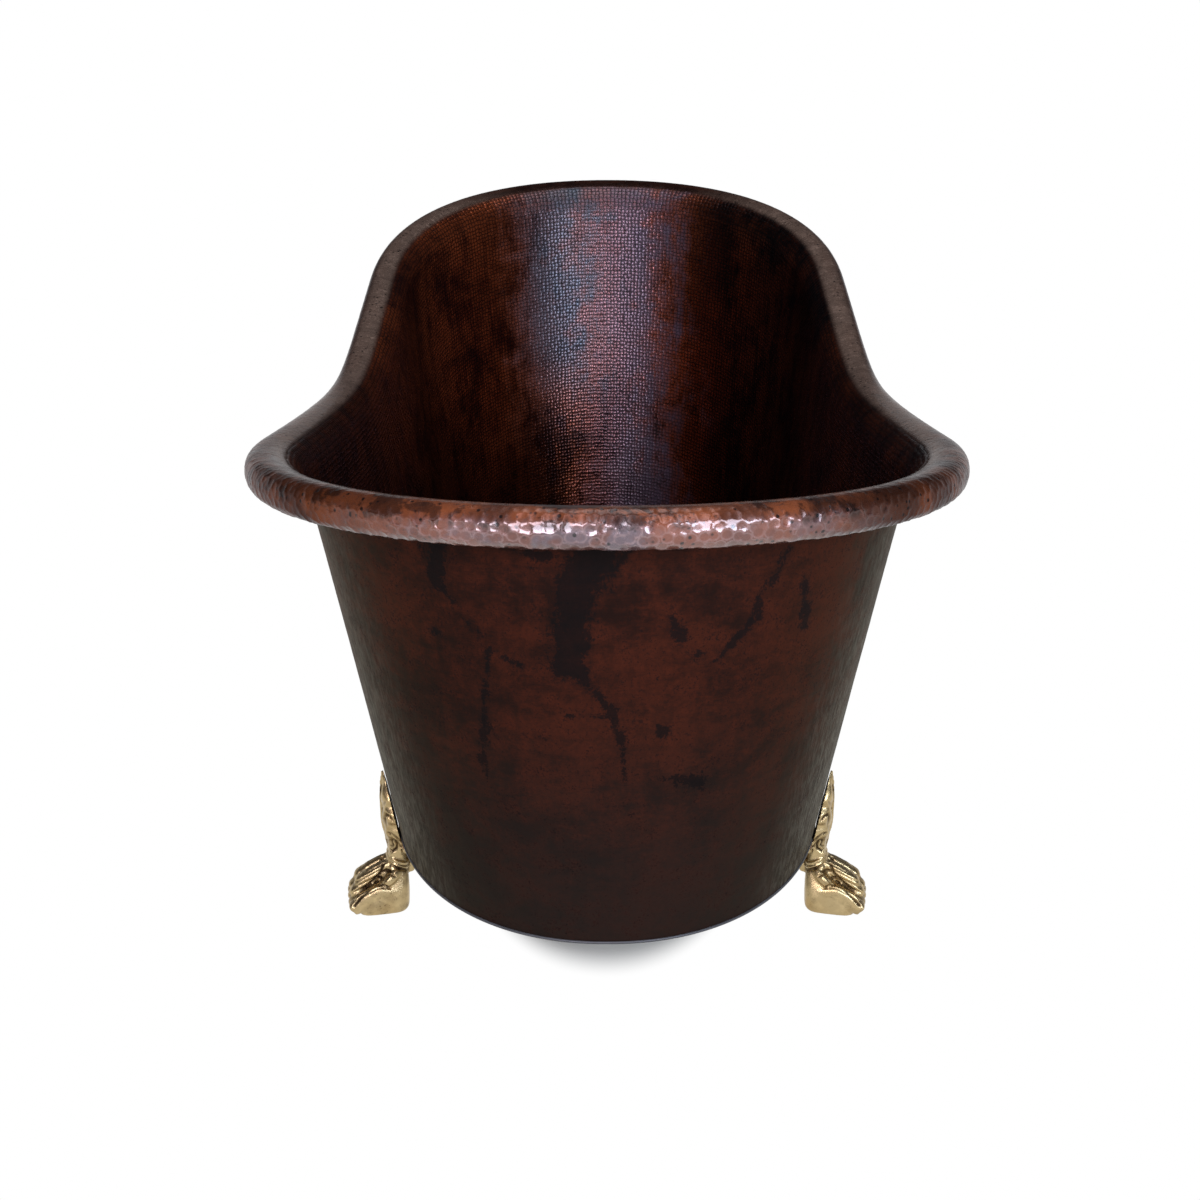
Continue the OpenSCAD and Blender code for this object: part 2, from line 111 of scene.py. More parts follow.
def cubic(t, first, first_slope, second, second_slope):
    """The cubic curve from first to second that has the given slopes there, as t goes from 0 to 1."""
    return (
        (2 * t ** 3 - 3 * t ** 2 + 1) * first + (t ** 3 - 2 * t ** 2 + t) * first_slope
        + (3 * t ** 2 - 2 * t ** 3) * second + (t ** 3 - t ** 2) * second_slope
    )


# Places round the bath -------------------------------------------------------------------


def outline(place, plan, inward=0.0):
    """Point of an outline with straight sides and rounded ends. A place runs from 0 to 6: right arc of the
    foot end, right side, right arc of the head end, left arc, left side, left arc. An arc's X is the half
    width times a power of the sine of its turn, its Y the straight plus the end's length times a power of
    the cosine."""
    half_width, straight, end_length, roundness = plan
    part = np.floor(place).astype(int) % 6
    share = place - np.floor(place)
    level = np.ones_like(share)
    turn = np.choose(part, [share, level, 1 - share, share, level, 1 - share]) * math.pi / 2
    along = np.choose(part, [-level, 2 * share - 1, level, level, 1 - 2 * share, -level])
    end = np.choose(part, [-1, 0, 1, 1, 0, -1])
    side = np.where(part < 3, 1, -1)
    x = side * (half_width - inward) * np.sin(turn) ** (2 / roundness)
    y = along * straight + end * (end_length - inward) * np.clip(np.cos(turn), 0, 1) ** (2 / roundness)
    return x, y


def _measured_outline():
    """Distance run along the middle of the roll at places spaced evenly from 0 to 6."""
    places = np.linspace(0, 6, 12001)
    x, y = outline(np.minimum(places, 6 - 1e-9), RIM_PLAN, ROLL)
    run = np.concatenate([[0], np.cumsum(np.hypot(np.diff(x), np.diff(y)))])
    return places, run


PLACES, RUNS = _measured_outline()
GIRTH = RUNS[-1]


def place_at(run):
    """Place round the bath at a distance run along the roll, counted from the middle of the foot end."""
    return np.interp(np.mod(run, GIRTH), RUNS, PLACES) % 6


def run_at(place):
    """Distance run along the roll at a place round the bath."""
    return float(np.interp(place, PLACES, RUNS))


def rise_run(y):
    """How far the rim has risen along Y: nothing at first, then a smooth bend into a straight rise."""
    return (np.sqrt((y - RISE_START) ** 2 + RISE_BLEND ** 2) + y - RISE_START) / 2


HEAD_RUN = rise_run(HALF_LENGTH - ROLL)
RISE_SLOPE = (HEAD_HEIGHT - LOW_HEIGHT + HEAD_RUN ** 2 / RISE_EASING) / HEAD_RUN


def rim_top(y):
    """Height of the rim at a place along Y: level, then a rise that eases, and a slight lift at the foot."""
    run = rise_run(y)
    lift = FOOT_LIFT * (np.maximum(0, -y) / HALF_LENGTH) ** 2
    return LOW_HEIGHT + RISE_SLOPE * run - run ** 2 / RISE_EASING + lift


def rim_surface(place, down, depth, square=0.0):
    """Point of the rolled rim. down is the distance over the crown and round the roll from where the wall
    ends, and depth is how far the point lies inside the sheet: an arc of the crown's radius, then an arc of
    the roll's radius, both shrunk by depth, set out inward from the rim's outline and under its top line.
    square swells the roll between its top, outermost and lowest points, so that its outer side is flatter."""
    on_crown = down < CROWN_RUN
    angle = np.where(on_crown, LEAN + down / CROWN, math.pi / 2 + (down - CROWN_RUN) / ROLL)
    swell = square * np.sin(2 * angle) ** 2 * (~on_crown & (angle < math.pi * 1.5))
    radius = np.where(on_crown, CROWN, ROLL * (1 + swell))
    inward = ROLL + (radius - depth) * np.cos(angle)
    x, y = outline(place, RIM_PLAN, inward)
    level = rim_top(y) - np.where(on_crown, CROWN, ROLL)
    return np.stack([x, y, level + (radius - depth) * np.sin(angle)], -1)


def wall_surface(place, up, depth):
    """Point of the wall: a straight line from the wall's foot to the start of the crown, eased over its last
    seventh into the crown's slope by a cubic curve. depth is counted inward from the outer face."""
    ease = WALL_STRAIGHT
    x, y = outline(place, FOOT_PLAN, depth)
    foot = np.stack([x, y, np.full_like(x, FLOOR_TOP)], -1)
    head = rim_surface(place, 0 * up, SHEET - depth)
    step = 0.0005
    slope = (rim_surface(place, 0 * up + step, SHEET - depth) - head) / step
    line = head - foot
    share = up[..., None]
    straight = foot + line * share
    t = np.clip((share - ease) / (1 - ease), 0, 1)
    start = foot + line * ease
    run = line * (1 - ease)
    length = np.linalg.norm(run, axis=-1, keepdims=True)
    return np.where(share > ease, cubic(t, start, run, head, slope * length), straight)


def hammer_marks(along, across, size_along, size_across, seed, jitter, stagger=0.5):
    """The nearest mark of a lattice of hammer marks in rows, each second row shifted by stagger and each mark
    moved a little from its place: the squared distance to it in marks along and across, and two numbers from
    0 to 1 of its own."""
    table_rows, table_columns = 211, 509
    table = np.random.default_rng(seed).random((4, table_rows, table_columns))
    columns = max(1, int(round(GIRTH / size_along)))
    size_along = GIRTH / columns
    row = np.floor(across / size_across).astype(int)
    best = np.full(along.shape, 9.0)
    found = [np.zeros(along.shape) for _ in range(4)]
    for row_step in (-1, 0, 1):
        r = row + row_step
        shift = stagger * (r % 2)
        column = np.floor(along / size_along - shift).astype(int)
        for column_step in (-1, 0, 1):
            c = column + column_step
            own = table[:, r % table_rows, (c % columns) % table_columns]
            a = along / size_along - (c + shift + 0.5 + jitter * (own[0] - 0.5))
            b = across / size_across - (r + 0.5 + jitter * (own[1] - 0.5))
            distance = a * a + b * b
            nearer = distance < best
            best = np.where(nearer, distance, best)
            for k, value in enumerate((a * a, b * b, own[2], own[3])):
                found[k] = np.where(nearer, value, found[k])
    return found


def slow_waves(along, across, lengths, seed):
    """Sum of sine waves, three of about each length, that run round the bath a whole number of times and up
    it at will, from -1 to 1."""
    rng = np.random.default_rng(seed)
    total = 0
    for length in lengths:
        for _ in range(3):
            turns = round(GIRTH / length * rng.uniform(0.7, 1.3))
            climb = rng.uniform(-1, 1) * 2 * math.pi / length
            total = total + np.sin(2 * math.pi * turns * along / GIRTH + climb * across + rng.uniform(0, 6.3))
    return total / (3 * len(lengths))


def inside_depth(along, rise):
    """How deep the small marks of the bath's inside sink into the sheet. rise is counted up the sheet from
    where the crown starts, so the rows run on from the wall over the crown."""
    s = sizes()
    high = s.inside_mark * INSIDE_MARK_SHAPE
    a, b, own, _ = hammer_marks(along, rise + 4, s.inside_mark, high, 31, 0.35, 0.0)
    bowl = np.maximum(0, 1 - a * 2.4 - b * 2.8) * (0.5 + 0.8 * own)
    slow = 0.5 + 0.5 * slow_waves(along, rise, (0.07, 0.15, 0.3), 33)
    return s.inside_mark_depth * bowl + 0.0004 * slow


# Mesh helpers ------------------------------------------------------------------------------


def new_piece(name, points, faces, material, uv=None, marks=None):
    """A mesh object from arrays: points, faces of four corners, a UV place per point and a value per point."""
    mesh = bpy.data.meshes.new(name)
    mesh.vertices.add(len(points))
    mesh.vertices.foreach_set("co", np.ascontiguousarray(points, np.float32).ravel())
    corners = np.ascontiguousarray(faces, np.int32).ravel()
    mesh.loops.add(len(corners))
    mesh.loops.foreach_set("vertex_index", corners)
    mesh.polygons.add(len(faces))
    mesh.polygons.foreach_set("loop_start", np.arange(0, len(corners), faces.shape[1], dtype=np.int32))
    mesh.update(calc_edges=True)
    if uv is not None:
        layer = mesh.uv_layers.new(name="sheet")
        layer.data.foreach_set("uv", np.ascontiguousarray(uv[corners], np.float32).ravel())
    for key, values in (marks or {}).items():
        attribute = mesh.attributes.new(key, "FLOAT", "POINT")
        attribute.data.foreach_set("value", np.ascontiguousarray(values, np.float32))
    mesh.validate()
    mesh.shade_smooth()
    mesh.materials.append(material)
    obj = bpy.data.objects.new(name, mesh)
    bpy.context.scene.collection.objects.link(obj)
    return obj


def vertex_values(mesh, key):
    """One of the mesh's own triples of numbers per point, such as its place or its normal, as an array."""
    values = np.empty(len(mesh.vertices) * 3, np.float32)
    mesh.vertices.foreach_get(key, values)
    return values.reshape(-1, 3)


def grid_faces(rows, columns, flip=False):
    """Faces of four corners between the neighbouring points of a grid."""
    i, j = np.meshgrid(np.arange(rows - 1), np.arange(columns - 1), indexing="ij")
    first = (i * columns + j).ravel()
    faces = np.stack([first, first + columns, first + columns + 1, first + 1], -1)
    return faces[:, ::-1] if flip else faces


def close_seams(obj):
    """Merges the points that lie on each other along a seam or at a pole."""
    made = bmesh.new()
    made.from_mesh(obj.data)
    edge = [v for v in made.verts if v.is_boundary]
    bmesh.ops.remove_doubles(made, verts=edge, dist=1e-6)
    made.to_mesh(obj.data)
    made.free()
    obj.data.shade_smooth()


def grid_piece(name, points, material, uv=None, marks=None, flip=False, closed=False):
    """A piece from a grid of points, with the grid's UV places and values."""
    rows, columns = points.shape[:2]
    obj = new_piece(
        name, points.reshape(-1, 3), grid_faces(rows, columns, flip), material,
        None if uv is None else uv.reshape(-1, 2),
        {k: v.ravel() for k, v in (marks or {}).items()},
    )
    if closed:
        close_seams(obj)
    return obj


# Materials ---------------------------------------------------------------------------------


class Wire:
    """A socket of a material, so that sums on values read as sums."""

    def __init__(self, paint, socket):
        self.paint = paint
        self.socket = socket

    def _math(self, operation, *values):
        return self.paint.node("ShaderNodeMath", {"operation": operation}, dict(enumerate(values)))

    def __add__(self, other):
        return self._math("ADD", self, other)

    __radd__ = __add__

    def __sub__(self, other):
        return self._math("SUBTRACT", self, other)

    def __rsub__(self, other):
        return self._math("SUBTRACT", other, self)

    def __mul__(self, other):
        return self._math("MULTIPLY", self, other)

    __rmul__ = __mul__

    def __pow__(self, other):
        return self._math("POWER", self, other)

    def least(self, other):
        return self._math("MINIMUM", self, other)

    def most(self, other):
        return self._math("MAXIMUM", self, other)

    def between(self, low, high):
        """0 below low, 1 above high, and a smooth step from one to the other."""
        sockets = {"Value": self, "From Min": low, "From Max": high}
        return self.paint.node("ShaderNodeMapRange", {"interpolation_type": "SMOOTHSTEP"}, sockets)


class Paint:
    """A material or a world and its nodes."""

    def __init__(self, owner):
        self.owner = owner
        owner.use_nodes = True
        self.tree = owner.node_tree
        self.tree.nodes.clear()

    def fill(self, socket, value):
        """Links a wire to a socket, or sets the socket to a constant."""
        if isinstance(value, Wire):
            self.tree.links.new(value.socket, socket)
        else:
            socket.default_value = value

    def node(self, kind, settings=None, sockets=None, output=0):
        """Adds a node, makes its settings, then fills or links its sockets, and gives one of its outputs."""
        made = self.tree.nodes.new(kind)
        for key, value in (settings or {}).items():
            setattr(made, key, value)
        for key, value in (sockets or {}).items():
            self.fill(made.inputs[key], value)
        return Wire(self, made.outputs[output]) if len(made.outputs) else None

    def part(self, vector, axis):
        """One of the three numbers of a vector."""
        return self.node("ShaderNodeSeparateXYZ", None, {0: vector}, axis)

    def ray(self, *kinds):
        """1 for rays of any of the kinds, and 0 for all others."""
        first, *others = (self.node("ShaderNodeLightPath", output=f"Is {kind} Ray") for kind in kinds)
        for other in others:
            first = first.most(other)
        return first

    def places(self):
        """Object coordinates of the piece."""
        return self.node("ShaderNodeTexCoord", output="Object")

    def sheet(self):
        """The piece's own UV map, in metres along and across the sheet."""
        return self.node("ShaderNodeUVMap", {"uv_map": "sheet"})

    def mark(self, name):
        """One of the values that the piece carries at its points."""
        return self.node("ShaderNodeAttribute", {"attribute_name": name}, output="Fac")

    def noise(self, where, scale, detail, roughness, distortion=0.0, stretch=None, shift=(0, 0, 0)):
        """Cloudy noise from 0 to 1, stretched and shifted along the axes if asked."""
        if stretch is not None or shift != (0, 0, 0):
            where = self.node("ShaderNodeMapping", None, {
                "Vector": where, "Scale": stretch or (1, 1, 1), "Location": shift,
            })
        return self.node("ShaderNodeTexNoise", None, {
            "Vector": where, "Scale": scale, "Detail": detail, "Roughness": roughness,
            "Distortion": distortion,
        }, output="Fac")

    def cells(self, where, scale):
        """Distance to the nearest of the scattered points of a cell pattern."""
        return self.node("ShaderNodeTexVoronoi", None, {"Vector": where, "Scale": scale}, "Distance")

    def lattice(self, size_along, size_across, wander):
        """Cells of the hammering on the sheet's own map: how far each place is from the middle of its cell,
        and from the edge of its cell, both in cells."""
        where = self.node("ShaderNodeMapping", None, {
            "Vector": self.sheet(), "Scale": (1 / size_along, 1 / size_across, 1)})
        sockets = {"Vector": where, "Scale": 1.0, "Randomness": wander}
        return [
            self.node(
                "ShaderNodeTexVoronoi", {"voronoi_dimensions": "2D", "feature": feature}, sockets, "Distance")
            for feature in ("F1", "DISTANCE_TO_EDGE")]

    def facing(self, exponent):
        """1 where the surface is seen square on and 0 where it is seen along itself."""
        layer = self.node("ShaderNodeLayerWeight", None, {"Blend": 0.5}, "Facing")
        return 1 - layer ** exponent

    def blend(self, first, second, share):
        """Colour that goes from the first to the second as share goes from 0 to 1."""
        first, second = (c if isinstance(c, Wire) else (*c[:3], 1) for c in (first, second))
        # A mix node has its sockets for colours after those for numbers and vectors
        sockets = {0: share, 6: first, 7: second}
        return self.node("ShaderNodeMix", {"data_type": "RGBA", "clamp_factor": True}, sockets, 2)

    def shader(self, sockets):
        """The Principled shader with its values and links, wired to the output."""
        bsdf = self.node("ShaderNodeBsdfPrincipled", None, sockets)
        self.node("ShaderNodeOutputMaterial", None, {"Surface": bsdf})
        return self.owner

    def bump(self, height, distance, strength):
        """Normal from a height from 0 to 1, whose full distance is in metres."""
        sockets = {"Height": height, "Distance": distance, "Strength": strength}
        return self.node("ShaderNodeBump", None, sockets, "Normal")


def new_paint(name):
    """A new material with an empty tree."""
    return Paint(bpy.data.materials.new(name))


class Patina:
    """Clouds of patina on copper: where it is thin, where it is thick, and the finer clouds in them."""

    def __init__(self, paint, cover, flow):
        """cover is how much of the copper is black, and flow how far the clouds run down the sheet."""
        self.paint = paint
        where, sheet = paint.places(), paint.sheet()
        big = paint.noise(where, 3.1, 4, 0.6, 0.6)
        middle = paint.noise(where, 11.0, 6, 0.66, 0.5, shift=(3.1, 1.7, 0.4))
        small = paint.noise(where, 42.0, 5, 0.68, 0.3, shift=(1.1, 4.2, 2.4))
        grain = paint.noise(where, 210.0, 5, 0.75, shift=(7.3, 0.2, 5.1))
        level = paint.noise(sheet, 1.0, 5, 0.65, 0.4, stretch=(12.0, 48.0, 1.0))
        upright = paint.noise(sheet, 1.0, 5, 0.65, 0.6, stretch=(34.0, 5.0, 1.0), shift=(3.0, 0.7, 0.0))
        brushed = paint.noise(sheet, 1.0, 4, 0.7, 0.2, stretch=(60.0, 700.0, 1.0), shift=(0.2, 0.6, 0.0))
        thin = big * 0.22 + middle * 0.26 + small * 0.2 + level * (0.26 - flow) + upright * flow + grain * 0.1
        self.thin = (thin + brushed * 0.1).between(0.49, 0.64) * (0.3 + grain * 1.0)
        torn = paint.noise(where, 6.5, 7, 0.74, 1.5, shift=(9.2, 3.3, 6.1))
        thick = (1 - big) * 0.2 + torn * 0.5 + small * 0.2
        thick = (thick + upright * flow + level * (0.12 - flow * 0.5)).between(0.6 - cover, 0.72 - cover)
        # Fine dark flecks lie thicker where the patina is thick, and a stain frays out into them
        fleck = paint.noise(where, 330.0, 4, 0.8, shift=(2.3, 5.5, 1.9))
        fray = (small - 0.5) * 2.4 + (paint.noise(where, 110.0, 4, 0.8) - 0.5) * 3.0 + (fleck - 0.5) * 3.0
        stain = paint.mark("stain")
        spots = (fleck + small * 0.4 + thick * 0.1 + brushed * 0.16).between(0.84, 0.92) * 0.8
        vein = paint.noise(where, 14.0, 5, 0.62, 1.2, shift=(0.6, 8.1, 3.7))
        vein = (1 - vein.between(0.5, 0.512)) * vein.between(0.488, 0.5) * (stain * 2.4).least(1.0)
        thick = thick.most((stain + fray * 0.6).between(0.42, 0.52)).most(vein * (0.5 + small * 0.5))
        thick = thick.most((stain + fray * 0.4).between(0.05, 0.6) * 0.35).most(spots)
        self.black = thick * (0.45 + grain * 0.5 + brushed * 0.3)
        self.thick, self.middle, self.small = thick, middle, small
        self.grain, self.upright = grain, upright

    def colour(self, brown, red, black):
        """Brown copper with red and black where the patina is thin and thick."""
        return self.paint.blend(self.paint.blend(brown, red, self.thin), black, self.black)


def inside_look(paint, age, colours):
    """Colour of the bath's inside and how far it is a metal: red brown copper, with a painted blue grey
    reflection and a painted mauve reflection on the back of the head end, and black toward its right side."""
    blue, mauve, black = (0.028, 0.046, 0.066), (0.058, 0.042, 0.062), tuple(colours[2])
    colour = age.colour(*(tuple(c) for c in colours))
    where = paint.places()
    x, y, z = (paint.part(where, axis) for axis in "XYZ")
    x = x + (age.small - 0.5) * 0.1 + (age.upright - 0.5) * 0.12 + (age.middle - 0.5) * 0.24
    # Painted reflections: a blue grey patch and a mauve patch on the back of the head end, where the lamps'
    # bands fall, with less metal there
    back = y.between(0.3, 0.5) * (1 - age.black * 0.7)
    left = x.between(-0.22, -0.09) * (1 - x.between(-0.08, 0.03)) * z.between(0.34, 0.6) * back
    right = x.between(-0.08, 0.05) * (1 - x.between(0.06, 0.19)) * back
    colour = paint.blend(paint.blend(colour, blue, left * 0.8), mauve, right * 0.88)
    dark = x.between(0.12, 0.22).most((1 - z.between(0.26, 0.52)) * (1 - x.between(-0.1, -0.02)) * 0.85)
    dark = dark * y.between(-0.1, 0.3)
    colour = paint.blend(colour, black, dark * (0.95 - age.thin * 0.3))
    near = (1 - y.between(-0.15, 0.32)) * (1 - age.thin * 0.4)
    colour = paint.blend(colour, (0.005, 0.003, 0.003), near * 0.8)
    return colour, 0.85 - (left + right).least(1.0) * 0.55


def copper(name, colours, roughness_level, gloss, cover, rows=None, low=None, hem=None):
    """Hammered copper under a patina, with small pits and a fine grain. The patina is an oxide, so it is only
    partly a metal, and gloss is how strongly it shines. rows gives the size of the hammering's cells and how
    far a bump carries their shape on, where the mesh is coarser than they are. low is a duller colour that
    comes in toward the floor, and with it comes a painted sheen of pale lines where the sheet is seen along
    itself. hem is a paler grey put on the hem."""
    paint = new_paint(name)
    brown, red, black = (tuple(c) for c in colours)
    age = Patina(paint, cover, 0.24 if rows else 0.08)
    if rows:
        colour, metallic = inside_look(paint, age, colours)
    else:
        colour, metallic = age.colour(brown, red, black), 0.4 - age.thick * 0.35
    where = paint.places()
    if low:
        height = paint.part(where, "Z") + (age.small - 0.5) * 0.1
        colour = paint.blend(colour, low, (1 - height.between(0.1, 0.42)) * 0.75 * (1 - age.thick))
        # Painted sheen: where the sheet is seen along itself, pale lines of its brushing are painted into its
        # colour, stronger low down, for its glancing reflection
        edge = (1 - paint.facing(2.0)).between(0.26, 0.85) * (1 - height.between(0.15, 0.5) * 0.55)
        lines = paint.noise(paint.sheet(), 1.0, 4, 0.7, 0.5, stretch=(210.0, 42.0, 1.0)).between(0.44, 0.6)
        colour = paint.blend(colour, (0.105, 0.097, 0.076), edge * (0.14 + lines * 0.75))
    # A paler grey on the hem
    if hem:
        colour = paint.blend(colour, hem, paint.mark("hem") * (0.5 + age.small))
    pits = paint.cells(where, 120.0).between(0.16, 0.06) * age.small.between(0.5, 0.62)
    colour = paint.blend(colour, black, pits * 0.8)
    roughness = roughness_level + (age.small - 0.5) * 0.18 + (age.grain - 0.5) * 0.14 + age.thick * 0.1
    relief = age.grain * 0.03 + age.small * 0.07 - pits * 0.12
    if rows:
        colour, roughness, relief = dented(paint, colour, roughness, relief, black, age.small, rows, 1.0)
    return paint.shader({
        "Specular IOR Level": gloss, "Specular Tint": (0.55, 0.55, 0.57, 1) if rows else (0.64, 0.6, 0.48, 1),
        "Base Color": colour, "Metallic": metallic, "Roughness": roughness,
        "Normal": paint.bump(relief, 0.001, 1.0),
    })


def dented(paint, colour, roughness, relief, black, small, rows, share):
    """Adds the small marks of the inside to a colour, a roughness and a relief: dark, dull lines between the
    marks and a bowl in each of them, for the part of their shape that is finer than the mesh."""
    middle, edge = paint.lattice(rows[0], rows[1], 0.4)
    gap = (1 - edge.between(0.03, 0.24)) * share
    colour = paint.blend(colour, black, gap * (0.5 + small * 0.6))
    return colour, roughness + gap * 0.12, relief + middle * middle * share * rows[2]


def rim_copper(name, colours, inner_colours, rows):
    """Copper of the rolled rim: as dark as the inside where the crown turns down into the bath, orange brown
    with black pits over its top, and rubbed to a pinkish brown in the middle of the foot end's outer side. A
    painted sheen lies along its crest and over its sides, and painted highlights on the rings round its marks."""
    paint = new_paint(name)
    brown, red, orange, rosy, black = (tuple(c) for c in colours)
    age = Patina(paint, 0.0, 0.1)
    small, grain = age.small, age.grain
    where = paint.places()
    down = paint.part(paint.sheet(), "Y") + (small - 0.5) * 0.012
    front, middle = paint.mark("front"), paint.mark("middle")
    colour = age.colour(brown, red, black)
    warm = paint.noise(where, 16.0, 5, 0.6, 0.4, shift=(4.4, 0.6, 8.0)).between(0.4, 0.62)
    top = down.between(0.05, 0.062) * (1 - down.between(0.122, 0.13))
    warmth = top * (0.2 + warm * 0.8) * (0.3 + front * 0.7)
    colour = paint.blend(colour, orange, warmth * (1 - age.thick * 0.8))
    low = down.between(0.083, 0.097) * (1 - down.between(0.122, 0.13))
    rubbed = low * middle * (0.12 + small * 0.9) * (1 - age.thick * 0.5)
    colour = paint.blend(colour, rosy, rubbed)
    grey = paint.noise(where, 24.0, 4, 0.6, 0.4, shift=(1.4, 7.6, 2.0)).between(0.5, 0.66)
    colour = paint.blend(colour, (0.075, 0.07, 0.085), low * middle * grey * 0.6)
    sooty = paint.noise(where, 30.0, 5, 0.65, 0.5, shift=(6.0, 2.2, 3.0)).between(0.52, 0.6)
    colour = paint.blend(colour, black, top * front * sooty * (1 - down.between(0.092, 0.1)) * 0.65)
    # Painted highlight: the raised rings round the planishing marks are painted paler in the middle of the
    # foot end, where the lamps' glints fall on them
    bowl = paint.mark("bowl")
    ring = bowl.between(0.02, 0.25) * (1 - bowl.between(0.45, 0.8)) * low
    colour = paint.blend(colour, (0.24, 0.16, 0.15), ring * middle * (0.02 + small * 0.55))
    # Painted sheen: along the crest and over the sides a greyish brown is painted in, in streaks across the
    # roll, for the reflection of the pale surroundings
    streaks = paint.noise(paint.sheet(), 1.0, 5, 0.66, 0.4, stretch=(460.0, 16.0, 1.0), shift=(2.0, 1.0, 0.0))
    crest_sheen = paint.mark("crest_sheen") * (0.3 + streaks.between(0.3, 0.7) * 0.4 + age.small * 0.35)
    inside = 1 - down.between(0.036, 0.046)
    inner, inner_metal = inside_look(paint, age, inner_colours)
    colour = paint.blend(paint.blend(colour, inner, inside), (0.25, 0.172, 0.132), crest_sheen)
    pits = paint.cells(where, 105.0).between(0.26, 0.12) * paint.noise(where, 40.0, 2, 0.5).between(0.42, 0.5)
    pits = pits.most(paint.cells(where, 260.0).between(0.3, 0.12) * small.between(0.56, 0.66)) * (1 - inside)
    colour = paint.blend(colour, black, pits * 0.9)
    roughness = 0.27 + (small - 0.5) * 0.18 + (grain - 0.5) * 0.14 + age.thick * 0.12
    relief = grain * 0.04 + small * 0.04 - pits * 0.15
    colour, roughness, relief = dented(paint, colour, roughness, relief, black, small, rows, inside)
    metallic = (0.8 - middle * 0.5 - age.thick * 0.3) * (1 - inside) + inner_metal * inside
    return paint.shader({
        "Specular IOR Level": 0.5, "Specular Tint": (0.5, 0.5, 0.52, 1), "Coat Roughness": 0.12,
        "Base Color": colour, "Metallic": metallic, "Roughness": roughness,
        "Coat Weight": (0.02 + low * middle * 0.98) * (1 - inside), "Normal": paint.bump(relief, 0.001, 1.0),
    })


def aged_brass(name, gold, dark, roughness_level, grooves=True):
    """Brass with a brown age left in its hollows and rubbed bright on its ridges, with a grain and small pits.
    grooves says that the piece marks its own hollows."""
    paint = new_paint(name)
    where = paint.places()
    cloud = paint.noise(where, 52.0, 5, 0.68)
    grain = paint.noise(where, 420.0, 4, 0.7, shift=(1.2, 0.4, 2.0))
    pits = paint.cells(where, 330.0).between(0.3, 0.1) * cloud.between(0.5, 0.64)
    age = cloud.between(0.46, 0.68) * 0.32 + pits * 0.7
    if grooves:
        hollow = paint.mark("hollow")
        age = age + hollow.between(0.05, 0.5) * (0.35 + cloud * 0.5) + hollow.between(0.45, 0.95) * 0.6
    age = age.least(1.0)
    colour = paint.blend(gold, dark, age)
    pale = paint.noise(where, 85.0, 4, 0.6, shift=(2.6, 0.8, 6.2)).between(0.46, 0.66)
    colour = paint.blend(colour, [min(1.0, g * 1.3) for g in gold], pale * (1 - age) * 0.6)
    warm = paint.noise(where, 18.0, 3, 0.5, shift=(5.0, 5.0, 1.0)).between(0.45, 0.7)
    colour = paint.blend(colour, (gold[0] * 0.8, gold[1] * 0.68, gold[2] * 0.5), warm * 0.6)
    roughness = roughness_level + age * 0.25 + (grain - 0.5) * 0.15
    return paint.shader({
        "Metallic": 1.0, "Base Color": colour, "Roughness": roughness,
        "Normal": paint.bump(grain * 0.6 - pits, 0.0003, 0.4),
    })


def matt(name, colour, roughness_level, grain_scale):
    """Rubber or nylon: one colour with a fine grain and a little wear."""
    paint = new_paint(name)
    where = paint.places()
    grain = paint.noise(where, grain_scale, 4, 0.6)
    soft = paint.noise(where, grain_scale / 9, 3, 0.5).between(0.45, 0.7)
    tone = paint.blend(colour, [min(1.0, c * 1.5 + 0.01) for c in colour], soft * 0.6)
    return paint.shader({
        "Specular IOR Level": 0.4, "Base Color": tone, "Roughness": roughness_level + (grain - 0.5) * 0.2,
        "Normal": paint.bump(grain, 0.0002, 0.4),
    })


# Sizes and colours that a user may change -----------------------------------------------------


class BathSizes(bpy.types.PropertyGroup):
    """Sizes of the hammering and of the feet's carving."""
    rim_mark: FloatProperty(
        name="Rim mark", description="Width of a planishing mark on the rim", default=0.0098,
        min=0.006, max=0.02, unit="LENGTH", subtype="DISTANCE")
    rim_mark_depth: FloatProperty(
        name="Rim mark depth", description="Depth of a planishing mark on the rim", default=0.00095,
        min=0.0, max=0.0012, unit="LENGTH", subtype="DISTANCE")
    wall_mark: FloatProperty(
        name="Wall mark", description="Width of a hammer mark on the outside of the wall", default=0.015,
        min=0.008, max=0.03, unit="LENGTH", subtype="DISTANCE")
    inside_mark: FloatProperty(
        name="Inside mark", description="Width of a hammer mark on the inside of the wall", default=0.0082,
        min=0.006, max=0.02, unit="LENGTH", subtype="DISTANCE")
    inside_mark_depth: FloatProperty(
        name="Inside mark depth", description="Depth of a hammer mark on the inside of the wall",
        default=0.00022, min=0.0, max=0.0006, unit="LENGTH", subtype="DISTANCE")
    foot_grain: FloatProperty(
        name="Foot grain", description="Size of the cells that the cast feet are rebuilt from", default=0.001,
        min=0.0007, max=0.002, unit="LENGTH", subtype="DISTANCE")
    foot_smoothing: IntProperty(
        name="Foot smoothing", description="Passes of smoothing over a rebuilt foot", default=3, min=0, max=10)


